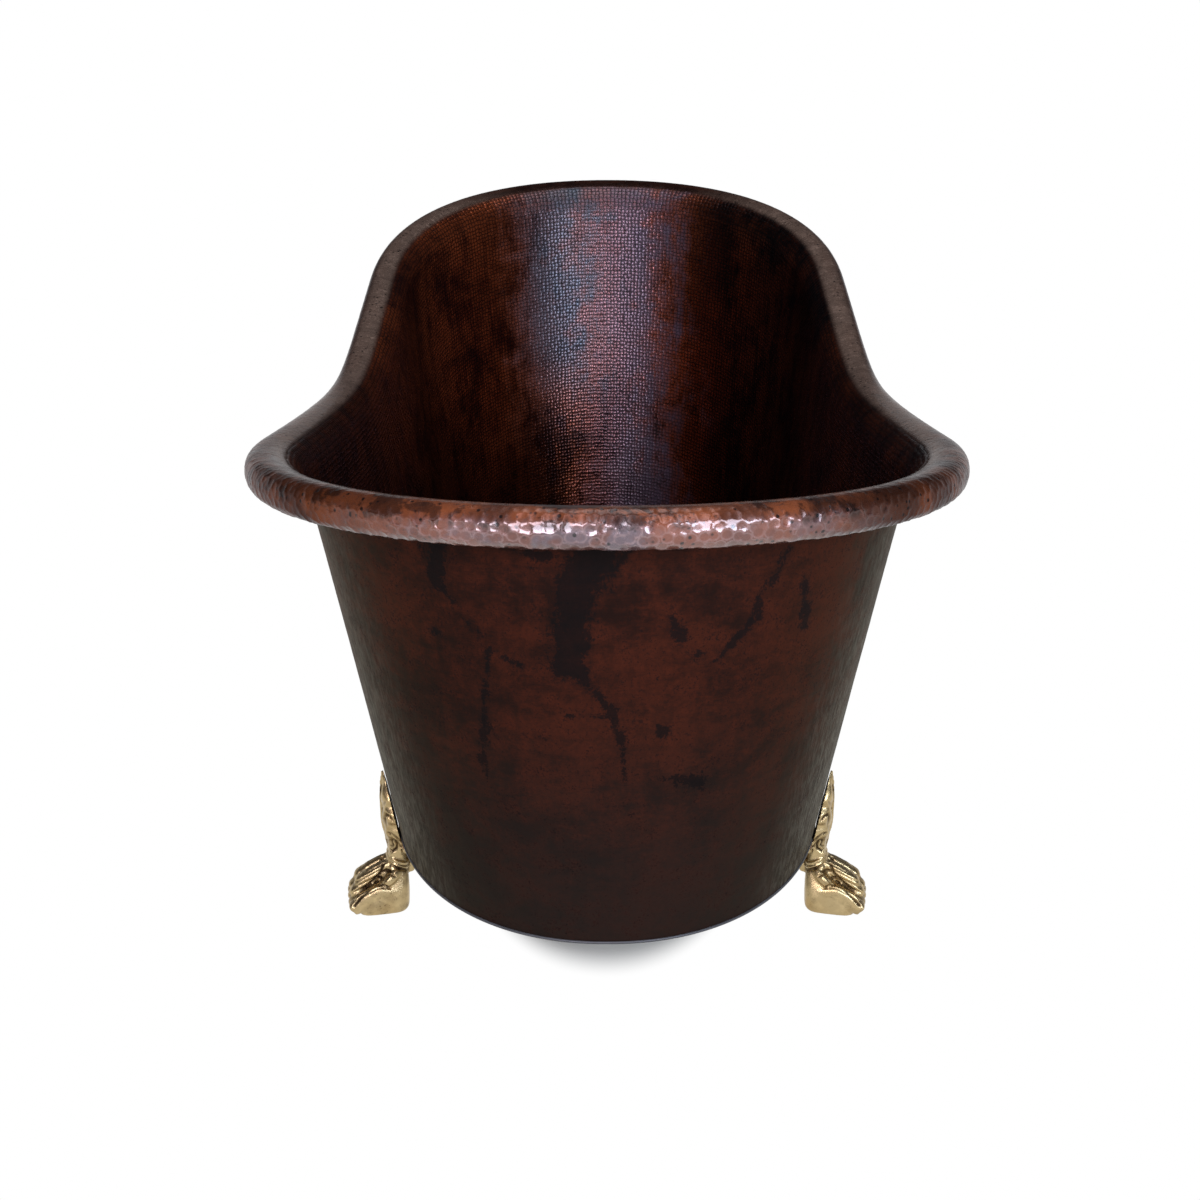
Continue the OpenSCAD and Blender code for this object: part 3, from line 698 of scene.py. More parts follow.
class BathColours(bpy.types.PropertyGroup):
    """Colours of the copper, the brass and the stage."""
    copper_brown: FloatVectorProperty(
        name="Copper brown", description="Patina of the copper", subtype="COLOR", size=4,
        default=(0.0094, 0.0042, 0.0033, 1), min=0, max=1)
    copper_red: FloatVectorProperty(
        name="Copper red", description="Copper where its patina is thin", subtype="COLOR", size=4,
        default=(0.037, 0.0088, 0.0046, 1), min=0, max=1)
    copper_black: FloatVectorProperty(
        name="Copper black", description="Patina where it is thick", subtype="COLOR", size=4,
        default=(0.0024, 0.0022, 0.0024, 1), min=0, max=1)
    copper_orange: FloatVectorProperty(
        name="Copper orange", description="Orange brown over the top of the rim", subtype="COLOR", size=4,
        default=(0.13, 0.036, 0.013, 1), min=0, max=1)
    copper_rosy: FloatVectorProperty(
        name="Copper rosy", description="Copper rubbed on the outer side of the rim", subtype="COLOR", size=4,
        default=(0.11, 0.046, 0.038, 1), min=0, max=1)
    brass_gold: FloatVectorProperty(
        name="Brass gold", description="Rubbed brass of the feet", subtype="COLOR", size=4,
        default=(0.44, 0.335, 0.175, 1), min=0, max=1)
    brass_dark: FloatVectorProperty(
        name="Brass dark", description="Age in the hollows of the brass", subtype="COLOR", size=4,
        default=(0.042, 0.025, 0.012, 1), min=0, max=1)
    ground: FloatVectorProperty(
        name="Ground", description="Floor and backdrop", subtype="COLOR", size=4,
        default=(0.49, 0.49, 0.44, 1), min=0, max=1)


# Brown, red and black of the bath's inside, and brown and red of its rim
INSIDE_COLOURS = ((0.036, 0.0075, 0.0042), (0.27, 0.06, 0.018), (0.0012, 0.0012, 0.0018))
RIM_COLOURS = ((0.016, 0.0055, 0.004), (0.04, 0.014, 0.008))


def sizes():
    """The sizes of this scene."""
    return bpy.context.scene.bath_sizes


def colours():
    """The colours of this scene."""
    return bpy.context.scene.bath_colours


def inside_rows():
    """Width and length of a mark of the bath's inside, and how far a bump carries it on."""
    wide = sizes().inside_mark
    return wide, wide * INSIDE_MARK_SHAPE, INSIDE_MARK_BUMP


# Pieces ----------------------------------------------------------------------------------------


class BATH_OT_rim(bpy.types.Operator):
    """Rolled rim with its planishing marks, swept round the bath"""
    bl_idname = "bath.rim"
    bl_label = "Rolled rim"

    def stretch(self, name, from_run, to_run, steps, rows, paint):
        """A stretch of the rim between two distances round the bath, closed round its section."""
        s = sizes()
        run = np.linspace(from_run, to_run, steps)
        # A second line close to the edge keeps the edge's corner from shading the sheet beside it
        steps_down = np.concatenate([[0], np.linspace(0.00015, RIM_RUN, rows - 1)])
        along, down = np.meshgrid(run, steps_down, indexing="ij")
        a, b, own, turn = hammer_marks(along, down, s.rim_mark, s.rim_mark * 0.92, 11, 0.5)
        from_end = np.minimum(np.mod(along, GIRTH), GIRTH - np.mod(along, GIRTH))
        # The marks are deepest on the outer side of the foot end
        strong = 0.32 + 0.68 * ramp_down(from_end, 0.6, 0.36)
        strong = strong * (0.3 + 0.7 * ramp_up(down, 0.07, 0.014)) * (0.7 + 0.45 * own)
        bowl = np.sqrt(np.maximum(0, 1 - (a + b) * (2.5 + 0.9 * turn)))
        # On the crown's inner side the marks are the small ones of the bath's inside
        inner = ramp_down(down, 0.062, 0.012)
        depth = s.rim_mark_depth * strong * bowl * (1 - inner) + inside_depth(along, down) * inner
        depth = depth * ramp_down(down, RIM_RUN, 0.004) + SKIN + 0.0001 * ramp_up(down, 0, 0.03)
        front = rim_surface(place_at(along), down, depth, 0.055 * ramp_down(from_end, 1.0, 0.5))
        # The sheet's lip at the curl's end, and the underside back to the wall, in fewer points
        back_along, back_down = np.meshgrid(run, np.linspace(RIM_RUN, 0, 10), indexing="ij")
        back = rim_surface(place_at(back_along), back_down, np.full_like(back_down, SHEET))
        lip_along, lip_turn = np.meshgrid(run, np.linspace(0, math.pi, 5)[1:-1], indexing="ij")
        half = SHEET / 2
        lip = rim_surface(
            place_at(lip_along), RIM_RUN + half * np.sin(lip_turn) * 0.9, half - half * np.cos(lip_turn))
        points = np.concatenate([front, lip, back, front[:, :1]], 1)
        columns = points.shape[1]
        spare = columns - down.shape[1]
        along, from_end = along[:, :1], from_end[:, :1]
        uv_down = np.concatenate([down, np.full((steps, spare), RIM_RUN + SHEET)], 1)
        uv = np.stack([np.repeat(along, columns, 1), uv_down], -1)
        near = np.repeat(ramp_down(from_end, 1.2, 0.6), columns, 1)
        middle = np.repeat(ramp_down(from_end, 0.28, 0.16), columns, 1)
        # A painted sheen along the crest, wider over the sides; a dark spot on the crest of the foot end
        reach = 0.05 + 0.034 * ramp_up(from_end, 0.35, 0.5)
        crest_sheen = ramp_up(uv_down, 0.038, 0.010) * ramp_down(uv_down, reach, 0.014)
        crest_sheen = crest_sheen * ramp_down(points[:, :1, 1], 0.74, 0.12)
        spot = 1.2 - ((along + 0.03) / 0.04) ** 2 - ((uv_down - 0.063) / 0.012) ** 2
        bowl = np.concatenate([bowl * (1 - inner), np.zeros((steps, spare))], 1)
        marks = {"front": near, "middle": middle, "crest_sheen": crest_sheen, "bowl": bowl, "stain": np.clip(spot, 0, 1)}
        obj = grid_piece(name, points, paint, uv, marks, closed=True)
        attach(obj, "tub")
        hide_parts("rolled_rim")

    def execute(self, context):
        c = colours()
        paint = rim_copper(
            "rim_copper_patina", (*RIM_COLOURS, c.copper_orange, c.copper_rosy, c.copper_black),
            INSIDE_COLOURS, inside_rows())
        self.stretch("rolled_rim_foot_end_left", -FINE_RUN, 0, 640, 92, paint)
        self.stretch("rolled_rim_foot_end_right", 0, FINE_RUN, 640, 92, paint)
        self.stretch("rolled_rim_head_end", FINE_RUN, GIRTH - FINE_RUN, 1210, 66, paint)
        return {"FINISHED"}


def along_path(x, z, path):
    """For each straight piece of a crooked path, the distance of each place from it and the path's half width
    there, which goes evenly from one end of a piece to the other."""
    for (x0, z0, w0), (x1, z1, w1) in zip(path[:-1], path[1:]):
        dx, dz = x1 - x0, z1 - z0
        t = np.clip(((x - x0) * dx + (z - z0) * dz) / (dx ** 2 + dz ** 2), 0, 1)
        yield np.hypot(x - x0 - t * dx, z - z0 - t * dz), w0 + t * (w1 - w0)


def streak(x, z, path):
    """1 on a crooked streak and 0 off it: the distance to the nearest of its straight pieces, less the half
    width there, with an edge that is the softer the wider the streak is."""
    away = [(distance - width) / (0.009 + 0.8 * width) for distance, width in along_path(x, z, path)]
    return np.clip(0.5 - np.min(away, 0), 0, 1)


def crooked_groove(x, z, path):
    """1 in the middle of a crooked groove and 0 off it: a bell over the distance to the nearest of its
    straight pieces, as wide as the groove is there, and lower where the groove is very thin."""
    return np.max([
        np.exp(-(distance / (width + 0.0006)) ** 2) * np.minimum(1, width / 0.0009)
        for distance, width in along_path(x, z, path)], 0)


# Streaks and spots of black patina on the foot end, as X, Z and half width along each
STREAKS = (
    ((-0.008, 0.55, 0.021), (-0.014, 0.528, 0.021), (-0.030, 0.50, 0.018), (-0.034, 0.455, 0.015),
     (-0.036, 0.42, 0.014)),
    ((0.012, 0.55, 0.014), (0.016, 0.54, 0.006), (0.004, 0.515, 0.001)),
    ((-0.030, 0.42, 0.011), (-0.020, 0.404, 0.004), (0.006, 0.374, 0.004), (0.013, 0.345, 0.003),
     (0.018, 0.29, 0.001)),
    ((-0.161, 0.54, 0.009), (-0.160, 0.50, 0.007), (-0.147, 0.482, 0.001), (-0.118, 0.445, 0.001)),
    ((-0.112, 0.435, 0.001), (-0.116, 0.40, 0.0035), (-0.121, 0.36, 0.003), (-0.122, 0.28, 0.001)),
    ((-0.11, 0.432, 0.001), (-0.082, 0.418, 0.002)),
    ((0.172, 0.53, 0.003), (0.146, 0.485, 0.002), (0.141, 0.462, 0.004), (0.118, 0.436, 0.003),
     (0.1, 0.42, 0.001)),
    ((0.192, 0.49, 0.004), (0.193, 0.44, 0.005)),
    ((0.060, 0.470, 0.001), (0.068, 0.452, 0.007)),
    ((0.078, 0.434, 0.001), (0.086, 0.429, 0.006)),
    ((0.05, 0.362, 0.001), (0.056, 0.350, 0.006)),
    ((0.062, 0.296, 0.004), (0.090, 0.287, 0.008)),
    ((-0.168, 0.443, 0.003), (-0.155, 0.437, 0.001)),
    ((-0.036, 0.368, 0.001), (0.004, 0.368, 0.001)),
    ((-0.09, 0.536, 0.001), (-0.055, 0.533, 0.004)),
)


def wall_piece(name, from_run, to_run, steps, low, high, rows, depth_of, face, paint, flip):
    """A stretch of the wall's outer or inner face between two distances round the bath and two shares of its
    height. face is how deep the face lies in the sheet, and depth_of gives how much deeper its marks are."""
    along, up = np.meshgrid(np.linspace(from_run, to_run, steps), np.linspace(low, high, rows), indexing="ij")
    place = place_at(along)
    # The inside counts down from the crown, so that its rows of marks follow the rim
    inside = face > SHEET / 2
    rise = (rim_top(outline(place, RIM_PLAN, CROWN)[1]) - FLOOR_TOP) * (up - inside)
    points = wall_surface(place, up, face + depth_of(along, rise))
    x, z = points[..., 0], points[..., 2]
    x = x + 0.006 * slow_waves(along, rise, (0.03, 0.07), 51)
    stain = np.max([streak(x, z, path) for path in STREAKS], 0) * (points[..., 1] < -0.3) * (not inside)
    obj = grid_piece(name, points, paint, np.stack([along, rise], -1), {"stain": stain}, flip=flip)
    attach(obj, "tub")
    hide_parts("tub_wall")


class BATH_OT_wall_outside(bpy.types.Operator):
    """Outer face of the wall, softly planished"""
    bl_idname = "bath.wall_outside"
    bl_label = "Wall, outside"

    def execute(self, context):
        c, s = colours(), sizes()

        def depth_of(along, rise):
            """Shallow bowls of staggered marks over slow waves of the sheet, all sunk into its thickness."""
            a, b, own, turn = hammer_marks(along, rise, s.wall_mark, s.wall_mark * 0.85, 21, 0.7)
            bowl = np.maximum(0, 1 - a * (1.6 + turn) - b * 2.4) * (0.4 + 0.9 * own)
            slow = 0.5 + 0.5 * slow_waves(along, rise, (0.06, 0.13, 0.3), 23)
            return 0.00014 * bowl + 0.0005 * slow

        paint = copper(
            "wall_copper_patina", (c.copper_brown, c.copper_red, c.copper_black), 0.52, 0.035, 0.0,
            low=(0.0108, 0.0086, 0.0074))
        side = run_at(1.5)
        wall_piece("wall_outside_foot_end", -side, side, 640, 0, 1, 150, depth_of, SKIN, paint, False)
        wall_piece("wall_outside_head_end", side, GIRTH - side, 480, 0, 1, 150, depth_of, SKIN, paint, False)
        return {"FINISHED"}


class BATH_OT_wall_inside(bpy.types.Operator):
    """Inner face of the wall, with its rows of small hammer marks"""
    bl_idname = "bath.wall_inside"
    bl_label = "Wall, inside"

    def execute(self, context):
        def depth_of(along, rise):
            """The marks of the bath's inside, sunk from its inner face, which is the deeper side."""
            return -inside_depth(along, rise)

        paint = copper("inside_copper_patina", INSIDE_COLOURS, 0.22, 0.42, 0.02, inside_rows())
        near = run_at(1.88)
        far = GIRTH - near
        face = SHEET - SKIN
        wall_piece("wall_inside_head_high", near, far, 560, COARSE_SHARE, 1, 176, depth_of, face, paint, True)
        wall_piece("wall_inside_head_low", near, far, 440, 0, COARSE_SHARE, 110, depth_of, face, paint, True)
        wall_piece("wall_inside_foot_end", far - GIRTH, near, 760, 0, 1, 128, depth_of, face, paint, True)
        return {"FINISHED"}


class BATH_OT_floor_sheet(bpy.types.Operator):
    """Floor sheet from its drain hole out to its rounded hem"""
    bl_idname = "bath.floor_sheet"
    bl_label = "Floor sheet"

    def execute(self, context):
        c = colours()
        run = np.linspace(0, GIRTH, 541)
        place = place_at(run)
        # Each line runs from the hole's edge over the top, round the hem and back under the sheet to the hole
        hem_x, hem_y = outline(place, FOOT_PLAN, -HEM + HEM_ROUND)
        reach = np.hypot(hem_x, hem_y - WASTE_Y)
        way_x, way_y = hem_x / reach, (hem_y - WASTE_Y) / reach

        def ring(share, level):
            """A ring at a share of the way from the drain hole out to the hem."""
            distance = DRAIN_RADIUS + share * (reach - DRAIN_RADIUS)
            return np.stack([way_x * distance, WASTE_Y + way_y * distance, 0 * distance + level], -1)

        near = [0, 0.004, 0.01]
        top = [ring(share, FLOOR_TOP - SKIN) for share in [*near, *np.linspace(0.03, 0.985, 40)]]
        under = [ring(share, FLOOR_BOTTOM + SKIN) for share in [*np.linspace(0.985, 0.03, 14), *near[::-1]]]
        out = np.stack([hem_x, hem_y, 0 * hem_x], -1)
        ahead = np.roll(out[:-1], -1, 0) - np.roll(out[:-1], 1, 0)
        ahead = np.concatenate([ahead, ahead[:1]])
        away = np.stack([ahead[:, 1], -ahead[:, 0], 0 * ahead[:, 0]], -1)
        away /= np.linalg.norm(away, axis=-1, keepdims=True)
        middle = (FLOOR_TOP + FLOOR_BOTTOM) / 2
        half = (FLOOR_TOP - FLOOR_BOTTOM) / 2 - SKIN
        hem = [
            out + away * HEM_ROUND * math.cos(turn) + np.array([0, 0, middle + half * math.sin(turn)])
            for turn in np.linspace(math.pi / 2, -math.pi / 2, 9)
        ]
        points = np.stack([*top, *hem, *under, top[0]], 1)
        a, b, _, _ = hammer_marks(points[..., 0] + 2, points[..., 1] + 2, 0.022, 0.02, 41, 0.7)
        bowl = np.maximum(0, 1 - a * 2 - b * 2.4)
        on_hem = np.zeros(points.shape[:2])
        on_hem[:, len(top):len(top) + len(hem)] = 1
        points[:, 2:len(top), 2] -= 0.00025 * bowl[:, 2:len(top)]
        paint = copper(
            "floor_copper_patina", (c.copper_brown, c.copper_red, c.copper_black), 0.4, 0.12, 0.03,
            hem=(0.06, 0.06, 0.064))
        marks = {"stain": 0 * bowl, "hem": on_hem}
        obj = grid_piece("floor_sheet_hammered", points, paint, points[..., :2].copy(), marks, closed=True)
        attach(obj, "tub")
        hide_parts("tub_floor")
        return {"FINISHED"}


# Feet ------------------------------------------------------------------------------------------


def smooth_line(controls, count):
    """Rows of numbers carried through by a smooth curve: between two rows a cubic whose slopes are those of
    the rows on either side."""
    controls = np.asarray(controls, float)
    at = np.linspace(0, len(controls) - 1, count)
    k = np.minimum(at.astype(int), len(controls) - 2)
    t = (at - k)[:, None]
    before = controls[np.maximum(k - 1, 0)]
    first, second = controls[k], controls[k + 1]
    after = controls[np.minimum(k + 2, len(controls) - 1)]
    return cubic(t, first, (second - before) / 2, second, (after - first) / 2)


def closed_grid(points):
    """A grid whose lines are rings, with its two ends drawn in to a point, and its faces."""
    first = np.repeat(points[:1].mean(1, keepdims=True), points.shape[1], 1)
    last = np.repeat(points[-1:].mean(1, keepdims=True), points.shape[1], 1)
    points = np.concatenate([first, points, last])
    return points.reshape(-1, 3), grid_faces(points.shape[0], points.shape[1])


def limb(controls, count, around, square=1.0, ends=0.18):
    """A rounded limb along a curve in the upright plane of X and Z. Each control row is X, Y, Z, half width
    across and half depth in the plane. The sections are ellipses, squared off by a power if asked, and both
    ends are domes over the given share of the length."""
    rows = smooth_line(controls, count)
    centre, half_width, half_depth = rows[:, :3], rows[:, 3], rows[:, 4]
    ahead = np.gradient(centre, axis=0)
    ahead[:, 1] = 0
    ahead /= np.linalg.norm(ahead, axis=1, keepdims=True)
    over = np.stack([-ahead[:, 2], 0 * ahead[:, 0], ahead[:, 0]], -1)
    t = np.linspace(0, 1, count)
    near_end = ramp_up(np.abs(2 * t - 1), 1 - ends, ends)
    dome = np.sqrt(np.maximum(0, 1 - near_end ** 2))
    angle = np.linspace(0, 2 * math.pi, around + 1)
    cos, sin = signed_power(np.cos(angle), square), signed_power(np.sin(angle), square)
    across = np.array([0, 1, 0])
    points = (
        centre[:, None]
        + (half_width * dome)[:, None, None] * cos[None, :, None] * across
        + (half_depth * dome)[:, None, None] * sin[None, :, None] * over[:, None]
    )
    return closed_grid(points)


def column(controls, count, around, square):
    """A form built up in level rings. Each control row is height, back, front, half width and the tilt of the
    ring, as a slope. A ring is an ellipse squared off by a power."""
    rows = smooth_line(controls, count)
    angle = np.linspace(0, 2 * math.pi, around + 1)
    cos, sin = signed_power(np.cos(angle), square), signed_power(np.sin(angle), square)
    out = (rows[:, 2] - rows[:, 1])[:, None] / 2 * cos
    x = (rows[:, 2] + rows[:, 1])[:, None] / 2 + out
    points = np.stack([x, rows[:, 3][:, None] * sin, rows[:, 0][:, None] + out * rows[:, 4][:, None]], -1)
    return closed_grid(points)


def tube(path, radius, around):
    """A round tube along a path of points."""
    ahead = np.gradient(path, axis=0)
    ahead /= np.linalg.norm(ahead, axis=1, keepdims=True)
    first = np.cross(ahead, [0.2, 0.9, 0.4])
    first /= np.linalg.norm(first, axis=1, keepdims=True)
    second = np.cross(ahead, first)
    angle = np.linspace(0, 2 * math.pi, around + 1)
    points = path[:, None] + radius * (
        np.cos(angle)[None, :, None] * first[:, None] + np.sin(angle)[None, :, None] * second[:, None])
    return closed_grid(points)


def foot_forms():
    """The closed forms that a foot's paw and cuff are cast from, in the foot's own frame: X out from the bath,
    Z up, origin on the floor under the wall's foot."""
    # Body of the paw, with a flat sole, an upright heel and shoulders that draw in to the cuff
    forms = [column([
        (0.0002, -0.0034, 0.0560, 0.0290, 0), (0.003, -0.0060, 0.0575, 0.0306, 0),
        (0.008, -0.0072, 0.0575, 0.0313, 0), (0.015, -0.0075, 0.0540, 0.0315, 0),
        (0.024, -0.0078, 0.0480, 0.0310, 0), (0.033, -0.0078, 0.0380, 0.0290, 0),
        (0.041, -0.0076, 0.0290, 0.0262, 0), (0.049, -0.0074, 0.0220, 0.0236, 0.1),
        (0.056, -0.0070, 0.0185, 0.0210, 0.3), (0.063, -0.0062, 0.0165, 0.0192, 0.42),
        (0.071, -0.0050, 0.0160, 0.0180, 0.42), (0.080, -0.0030, 0.0162, 0.0176, 0.2),
    ], count=80, around=56, square=0.48)]
    for side in (-1, 1):
        # A middle toe, high over its knuckle, and a lower outer toe with a flat flank
        for reach, turn, controls in (
            (0.0082, 0.5, [
                (0.008, 0, 0.0610, 0.0072, 0.0060), (0.021, 0, 0.0560, 0.0084, 0.0078),
                (0.034, 0, 0.0488, 0.0092, 0.0092), (0.0468, 0, 0.0405, 0.0090, 0.0098),
                (0.0552, 0, 0.0290, 0.0088, 0.0092), (0.0588, 0, 0.0160, 0.0086, 0.0086),
                (0.0608, 0, 0.0070, 0.0080, 0.0066)]),
            (0.0225, -1.0, [
                (0.006, 0, 0.0250, 0.0080, 0.0100), (0.019, 0, 0.0262, 0.0088, 0.0104),
                (0.031, 0, 0.0268, 0.0092, 0.0120), (0.0440, 0, 0.0210, 0.0090, 0.0116),
                (0.0562, 0, 0.0136, 0.0088, 0.0106), (0.0648, 0, 0.0084, 0.0084, 0.0082)]),
        ):
            points, faces = limb(controls, count=60, around=40, square=0.74, ends=0.16)
            angle = math.radians(turn) * side
            cos, sin = math.cos(angle), math.sin(angle)
            points = points @ np.array([[cos, sin, 0], [-sin, cos, 0], [0, 0, 1]])
            forms.append((points + np.array([0, side * reach, 0]), faces))
        # The fold from the cuff down to the outer toe, with its knuckle
        forms.append(limb([
            (0.0035, side * 0.0185, 0.0560, 0.0040, 0.0040), (0.0100, side * 0.0215, 0.0500, 0.0062, 0.0060),
            (0.0175, side * 0.0240, 0.0440, 0.0066, 0.0062), (0.0255, side * 0.0235, 0.0390, 0.0052, 0.0048),
        ], count=36, around=26, square=0.8))
    # Two rings of the cuff, tilted up to the front
    for level, size in ((0.0602, 1.0), (0.0652, 0.96)):
        angle = np.linspace(0, 2 * math.pi, 73)
        ahead = 0.0128 * size * signed_power(np.cos(angle), 0.8)
        across = 0.0208 * size * signed_power(np.sin(angle), 0.8)
        forms.append(tube(np.stack([0.0046 + ahead, across, level + 0.47 * ahead], -1), 0.0018, 12))
    return forms


def leaf_form(lean):
    """The leaf that stands on the wall over the cuff. Its half width swells from the ankle and closes to the
    tip, with pairs of lobes; its front is a bowed shield with a raised midrib and ribs that rise outward;
    its back lies a small gap off the wall. lean is the wall's slope behind it."""
    steps, ankle, tip = 170, 0.066, 0.180
    # Depth in metres and share of the full half width, from the ankle to the tip
    depth, share = smooth_line([
        (0.0148, 0.58), (0.0150, 0.60), (0.0164, 0.70), (0.0178, 0.86), (0.0168, 0.98),
        (0.0146, 1.0), (0.0122, 0.92), (0.0096, 0.72), (0.0058, 0.44), (0.0016, 0.08),
    ], steps).T[:, :, None]
    up = np.linspace(0, 1, steps)[:, None]
    height = ankle + up * (tip - ankle)
    turn = 2 * math.pi * (up * 4.4 + 0.1)
    lobes = 1 - 0.16 * np.clip(up * 3 - 0.5, 0, 1) * (0.5 + 0.5 * np.cos(turn)) ** 2
    across = np.linspace(-1, 1, 71)[None]
    side = np.abs(across)
    y = 0.031 * share * lobes * across
    wall = 0.0012 + np.maximum(0, height - FLOOR_TOP) * lean
    shield = np.sqrt(np.maximum(0, 1 - side ** 2.8))
    depth = depth * (0.34 + 0.66 * shield)
    strength = np.clip(up * 4 - 0.4, 0, 1)
    ribs = np.cos(turn - 2 * math.pi * 0.75 * side) * np.clip(side * 3, 0, 1) * shield
    midrib = np.exp(-(across / 0.09) ** 2) * np.clip(up * 6, 0, 1)
    groove = np.exp(-((side - 0.2) / 0.07) ** 2)
    depth = depth + strength * 0.0011 * ribs + 0.0019 * midrib - 0.0011 * groove * strength
    depth = np.maximum(0.0006, depth * np.sqrt(np.maximum(0, 1 - side ** 10)))
    front, back = (np.stack([wall + x, y, height + 0 * x], -1) for x in (depth, 0 * depth))
    return closed_grid(np.concatenate([front, back[:, ::-1], front[:, :1]], 1))


def box_form(low, high):
    """A block with its corners at low and high, for the shelf that lies hidden under the floor."""
    grid = np.array(list(itertools.product(*zip(low, high))), float)
    faces = np.array([[0, 1, 3, 2], [4, 6, 7, 5], [0, 4, 5, 1], [2, 3, 7, 6], [0, 2, 6, 4], [1, 5, 7, 3]])
    return grid, faces


def hollow_share(mesh):
    """How hollow the surface is at each point, from -1 on a sharp ridge to 1 in a deep hollow: the mean of the
    neighbours less the point, along the normal, spread over the neighbours a few times."""
    passes, full = 4, 0.00022
    count = len(mesh.vertices)
    places = vertex_values(mesh, "co").astype(float)
    edges = np.empty(len(mesh.edges) * 2, np.int32)
    mesh.edges.foreach_get("vertices", edges)
    first, second = edges.reshape(-1, 2).T
    degree = np.maximum(1, np.bincount(first, minlength=count) + np.bincount(second, minlength=count))

    def mean(values):
        """The mean of each point's neighbours."""
        total = [
            np.bincount(first, column[second], count) + np.bincount(second, column[first], count)
            for column in values.T]
        return np.stack(total, -1) / degree[:, None]

    blurred = places
    for _ in range(passes):
        blurred = mean(blurred)
    value = ((blurred - places) * vertex_values(mesh, "normal")).sum(1)[:, None] / (full * passes)
    for _ in range(2):
        value = (value + mean(value)) / 2
    return np.clip(value[:, 0], -1, 1)


class BATH_OT_feet(bpy.types.Operator):
    """Four cast lion paw feet with their leaves, cast in one from closed forms"""
    bl_idname = "bath.feet"
    bl_label = "Feet"

    def foot_mesh(self, lean, name):
        """Joins the closed forms, rebuilds them as one skin on a fine grid, and smooths it."""
        s = sizes()
        shelf = box_form((-0.061, -0.033, 0.082), (0.0003, 0.033, 0.092))
        web = limb([
            (-0.009, 0, 0.040, 0.004, 0.006), (-0.010, 0, 0.060, 0.004, 0.010),
            (-0.016, 0, 0.080, 0.004, 0.016),
        ], count=16, around=16)
        forms = [*foot_forms(), leaf_form(lean), shelf, web]
        points, faces, start = [], [], 0
        for form_points, form_faces in forms:
            points.append(form_points)
            faces.append(form_faces + start)
            start += len(form_points)
        points, faces = np.concatenate(points), np.concatenate(faces)
        mesh = bpy.data.meshes.new(name)
        mesh.from_pydata(points.tolist(), [], faces.tolist())
        obj = bpy.data.objects.new(name, mesh)
        bpy.context.scene.collection.objects.link(obj)
        made = bmesh.new()
        made.from_mesh(mesh)
        bmesh.ops.remove_doubles(made, verts=made.verts, dist=1e-6)
        bmesh.ops.recalc_face_normals(made, faces=made.faces)
        made.to_mesh(mesh)
        made.free()
        rebuild = obj.modifiers.new("one_skin", "REMESH")
        rebuild.mode = "VOXEL"
        rebuild.voxel_size = s.foot_grain
        smooth = obj.modifiers.new("smooth", "SMOOTH")
        smooth.factor = 0.5
        smooth.iterations = s.foot_smoothing
        graph = bpy.context.evaluated_depsgraph_get()
        result = bpy.data.meshes.new_from_object(obj.evaluated_get(graph))
        bpy.data.objects.remove(obj)
        return result

    def execute(self, context):
        c = colours()
        # Where the wall's foot passes the feet, and which way it faces there
        half_width, straight, end_length, roundness = FOOT_PLAN
        share = (FOOT_Y - straight) / end_length
        turn = math.acos(share ** (roundness / 2))
        spot_x = half_width * math.sin(turn) ** (2 / roundness)
        slope_x = (spot_x / half_width) ** (roundness - 1) / half_width
        slope_y = -share ** (roundness - 1) / end_length
        facing = math.atan2(slope_y, slope_x)
        cos, sin = math.cos(facing), math.sin(facing)
        paint = aged_brass("foot_brass_aged", c.brass_gold, c.brass_dark, 0.37)
        for end in (-1, 1):
            # The wall's slope behind the leaf, measured over its straight part
            place = turn / (math.pi / 2)
            place = np.array([place if end < 0 else 3 - place])
            low = wall_surface(place, np.array([0.0]), 0.0)[0]
            dx, dy, dz = wall_surface(place, np.array([0.85]), 0.0)[0] - low
            cast = self.foot_mesh((dx * cos - end * dy * sin) / dz, "foot_form")
            local, in_cut = carve(vertex_values(cast, "co").astype(float), cast)
            cast.vertices.foreach_set("co", local.astype(np.float32).ravel())
            cast.update()
            hollow = np.maximum(hollow_share(cast), in_cut)
            quads = np.empty(len(cast.loops), np.int32)
            cast.loops.foreach_get("vertex_index", quads)
            quads = quads.reshape(-1, 4)
            for side in (-1, 1):
                x = spot_x + local[:, 0] * cos - local[:, 1] * sin
                y = -FOOT_Y + local[:, 0] * sin + local[:, 1] * cos
                points = np.stack([side * x, -end * y, np.maximum(local[:, 2], 0)], -1)
                turned = side * end > 0
                node = f"{'front' if end < 0 else 'rear'}_{'left' if side < 0 else 'right'}_foot"
                faces = quads[:, ::-1] if turned else quads
                obj = new_piece(node + "_cast", points, faces, paint, None, {"hollow": hollow})
                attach(obj, "tub")
                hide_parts(node)
            bpy.data.meshes.remove(cast)
        return {"FINISHED"}


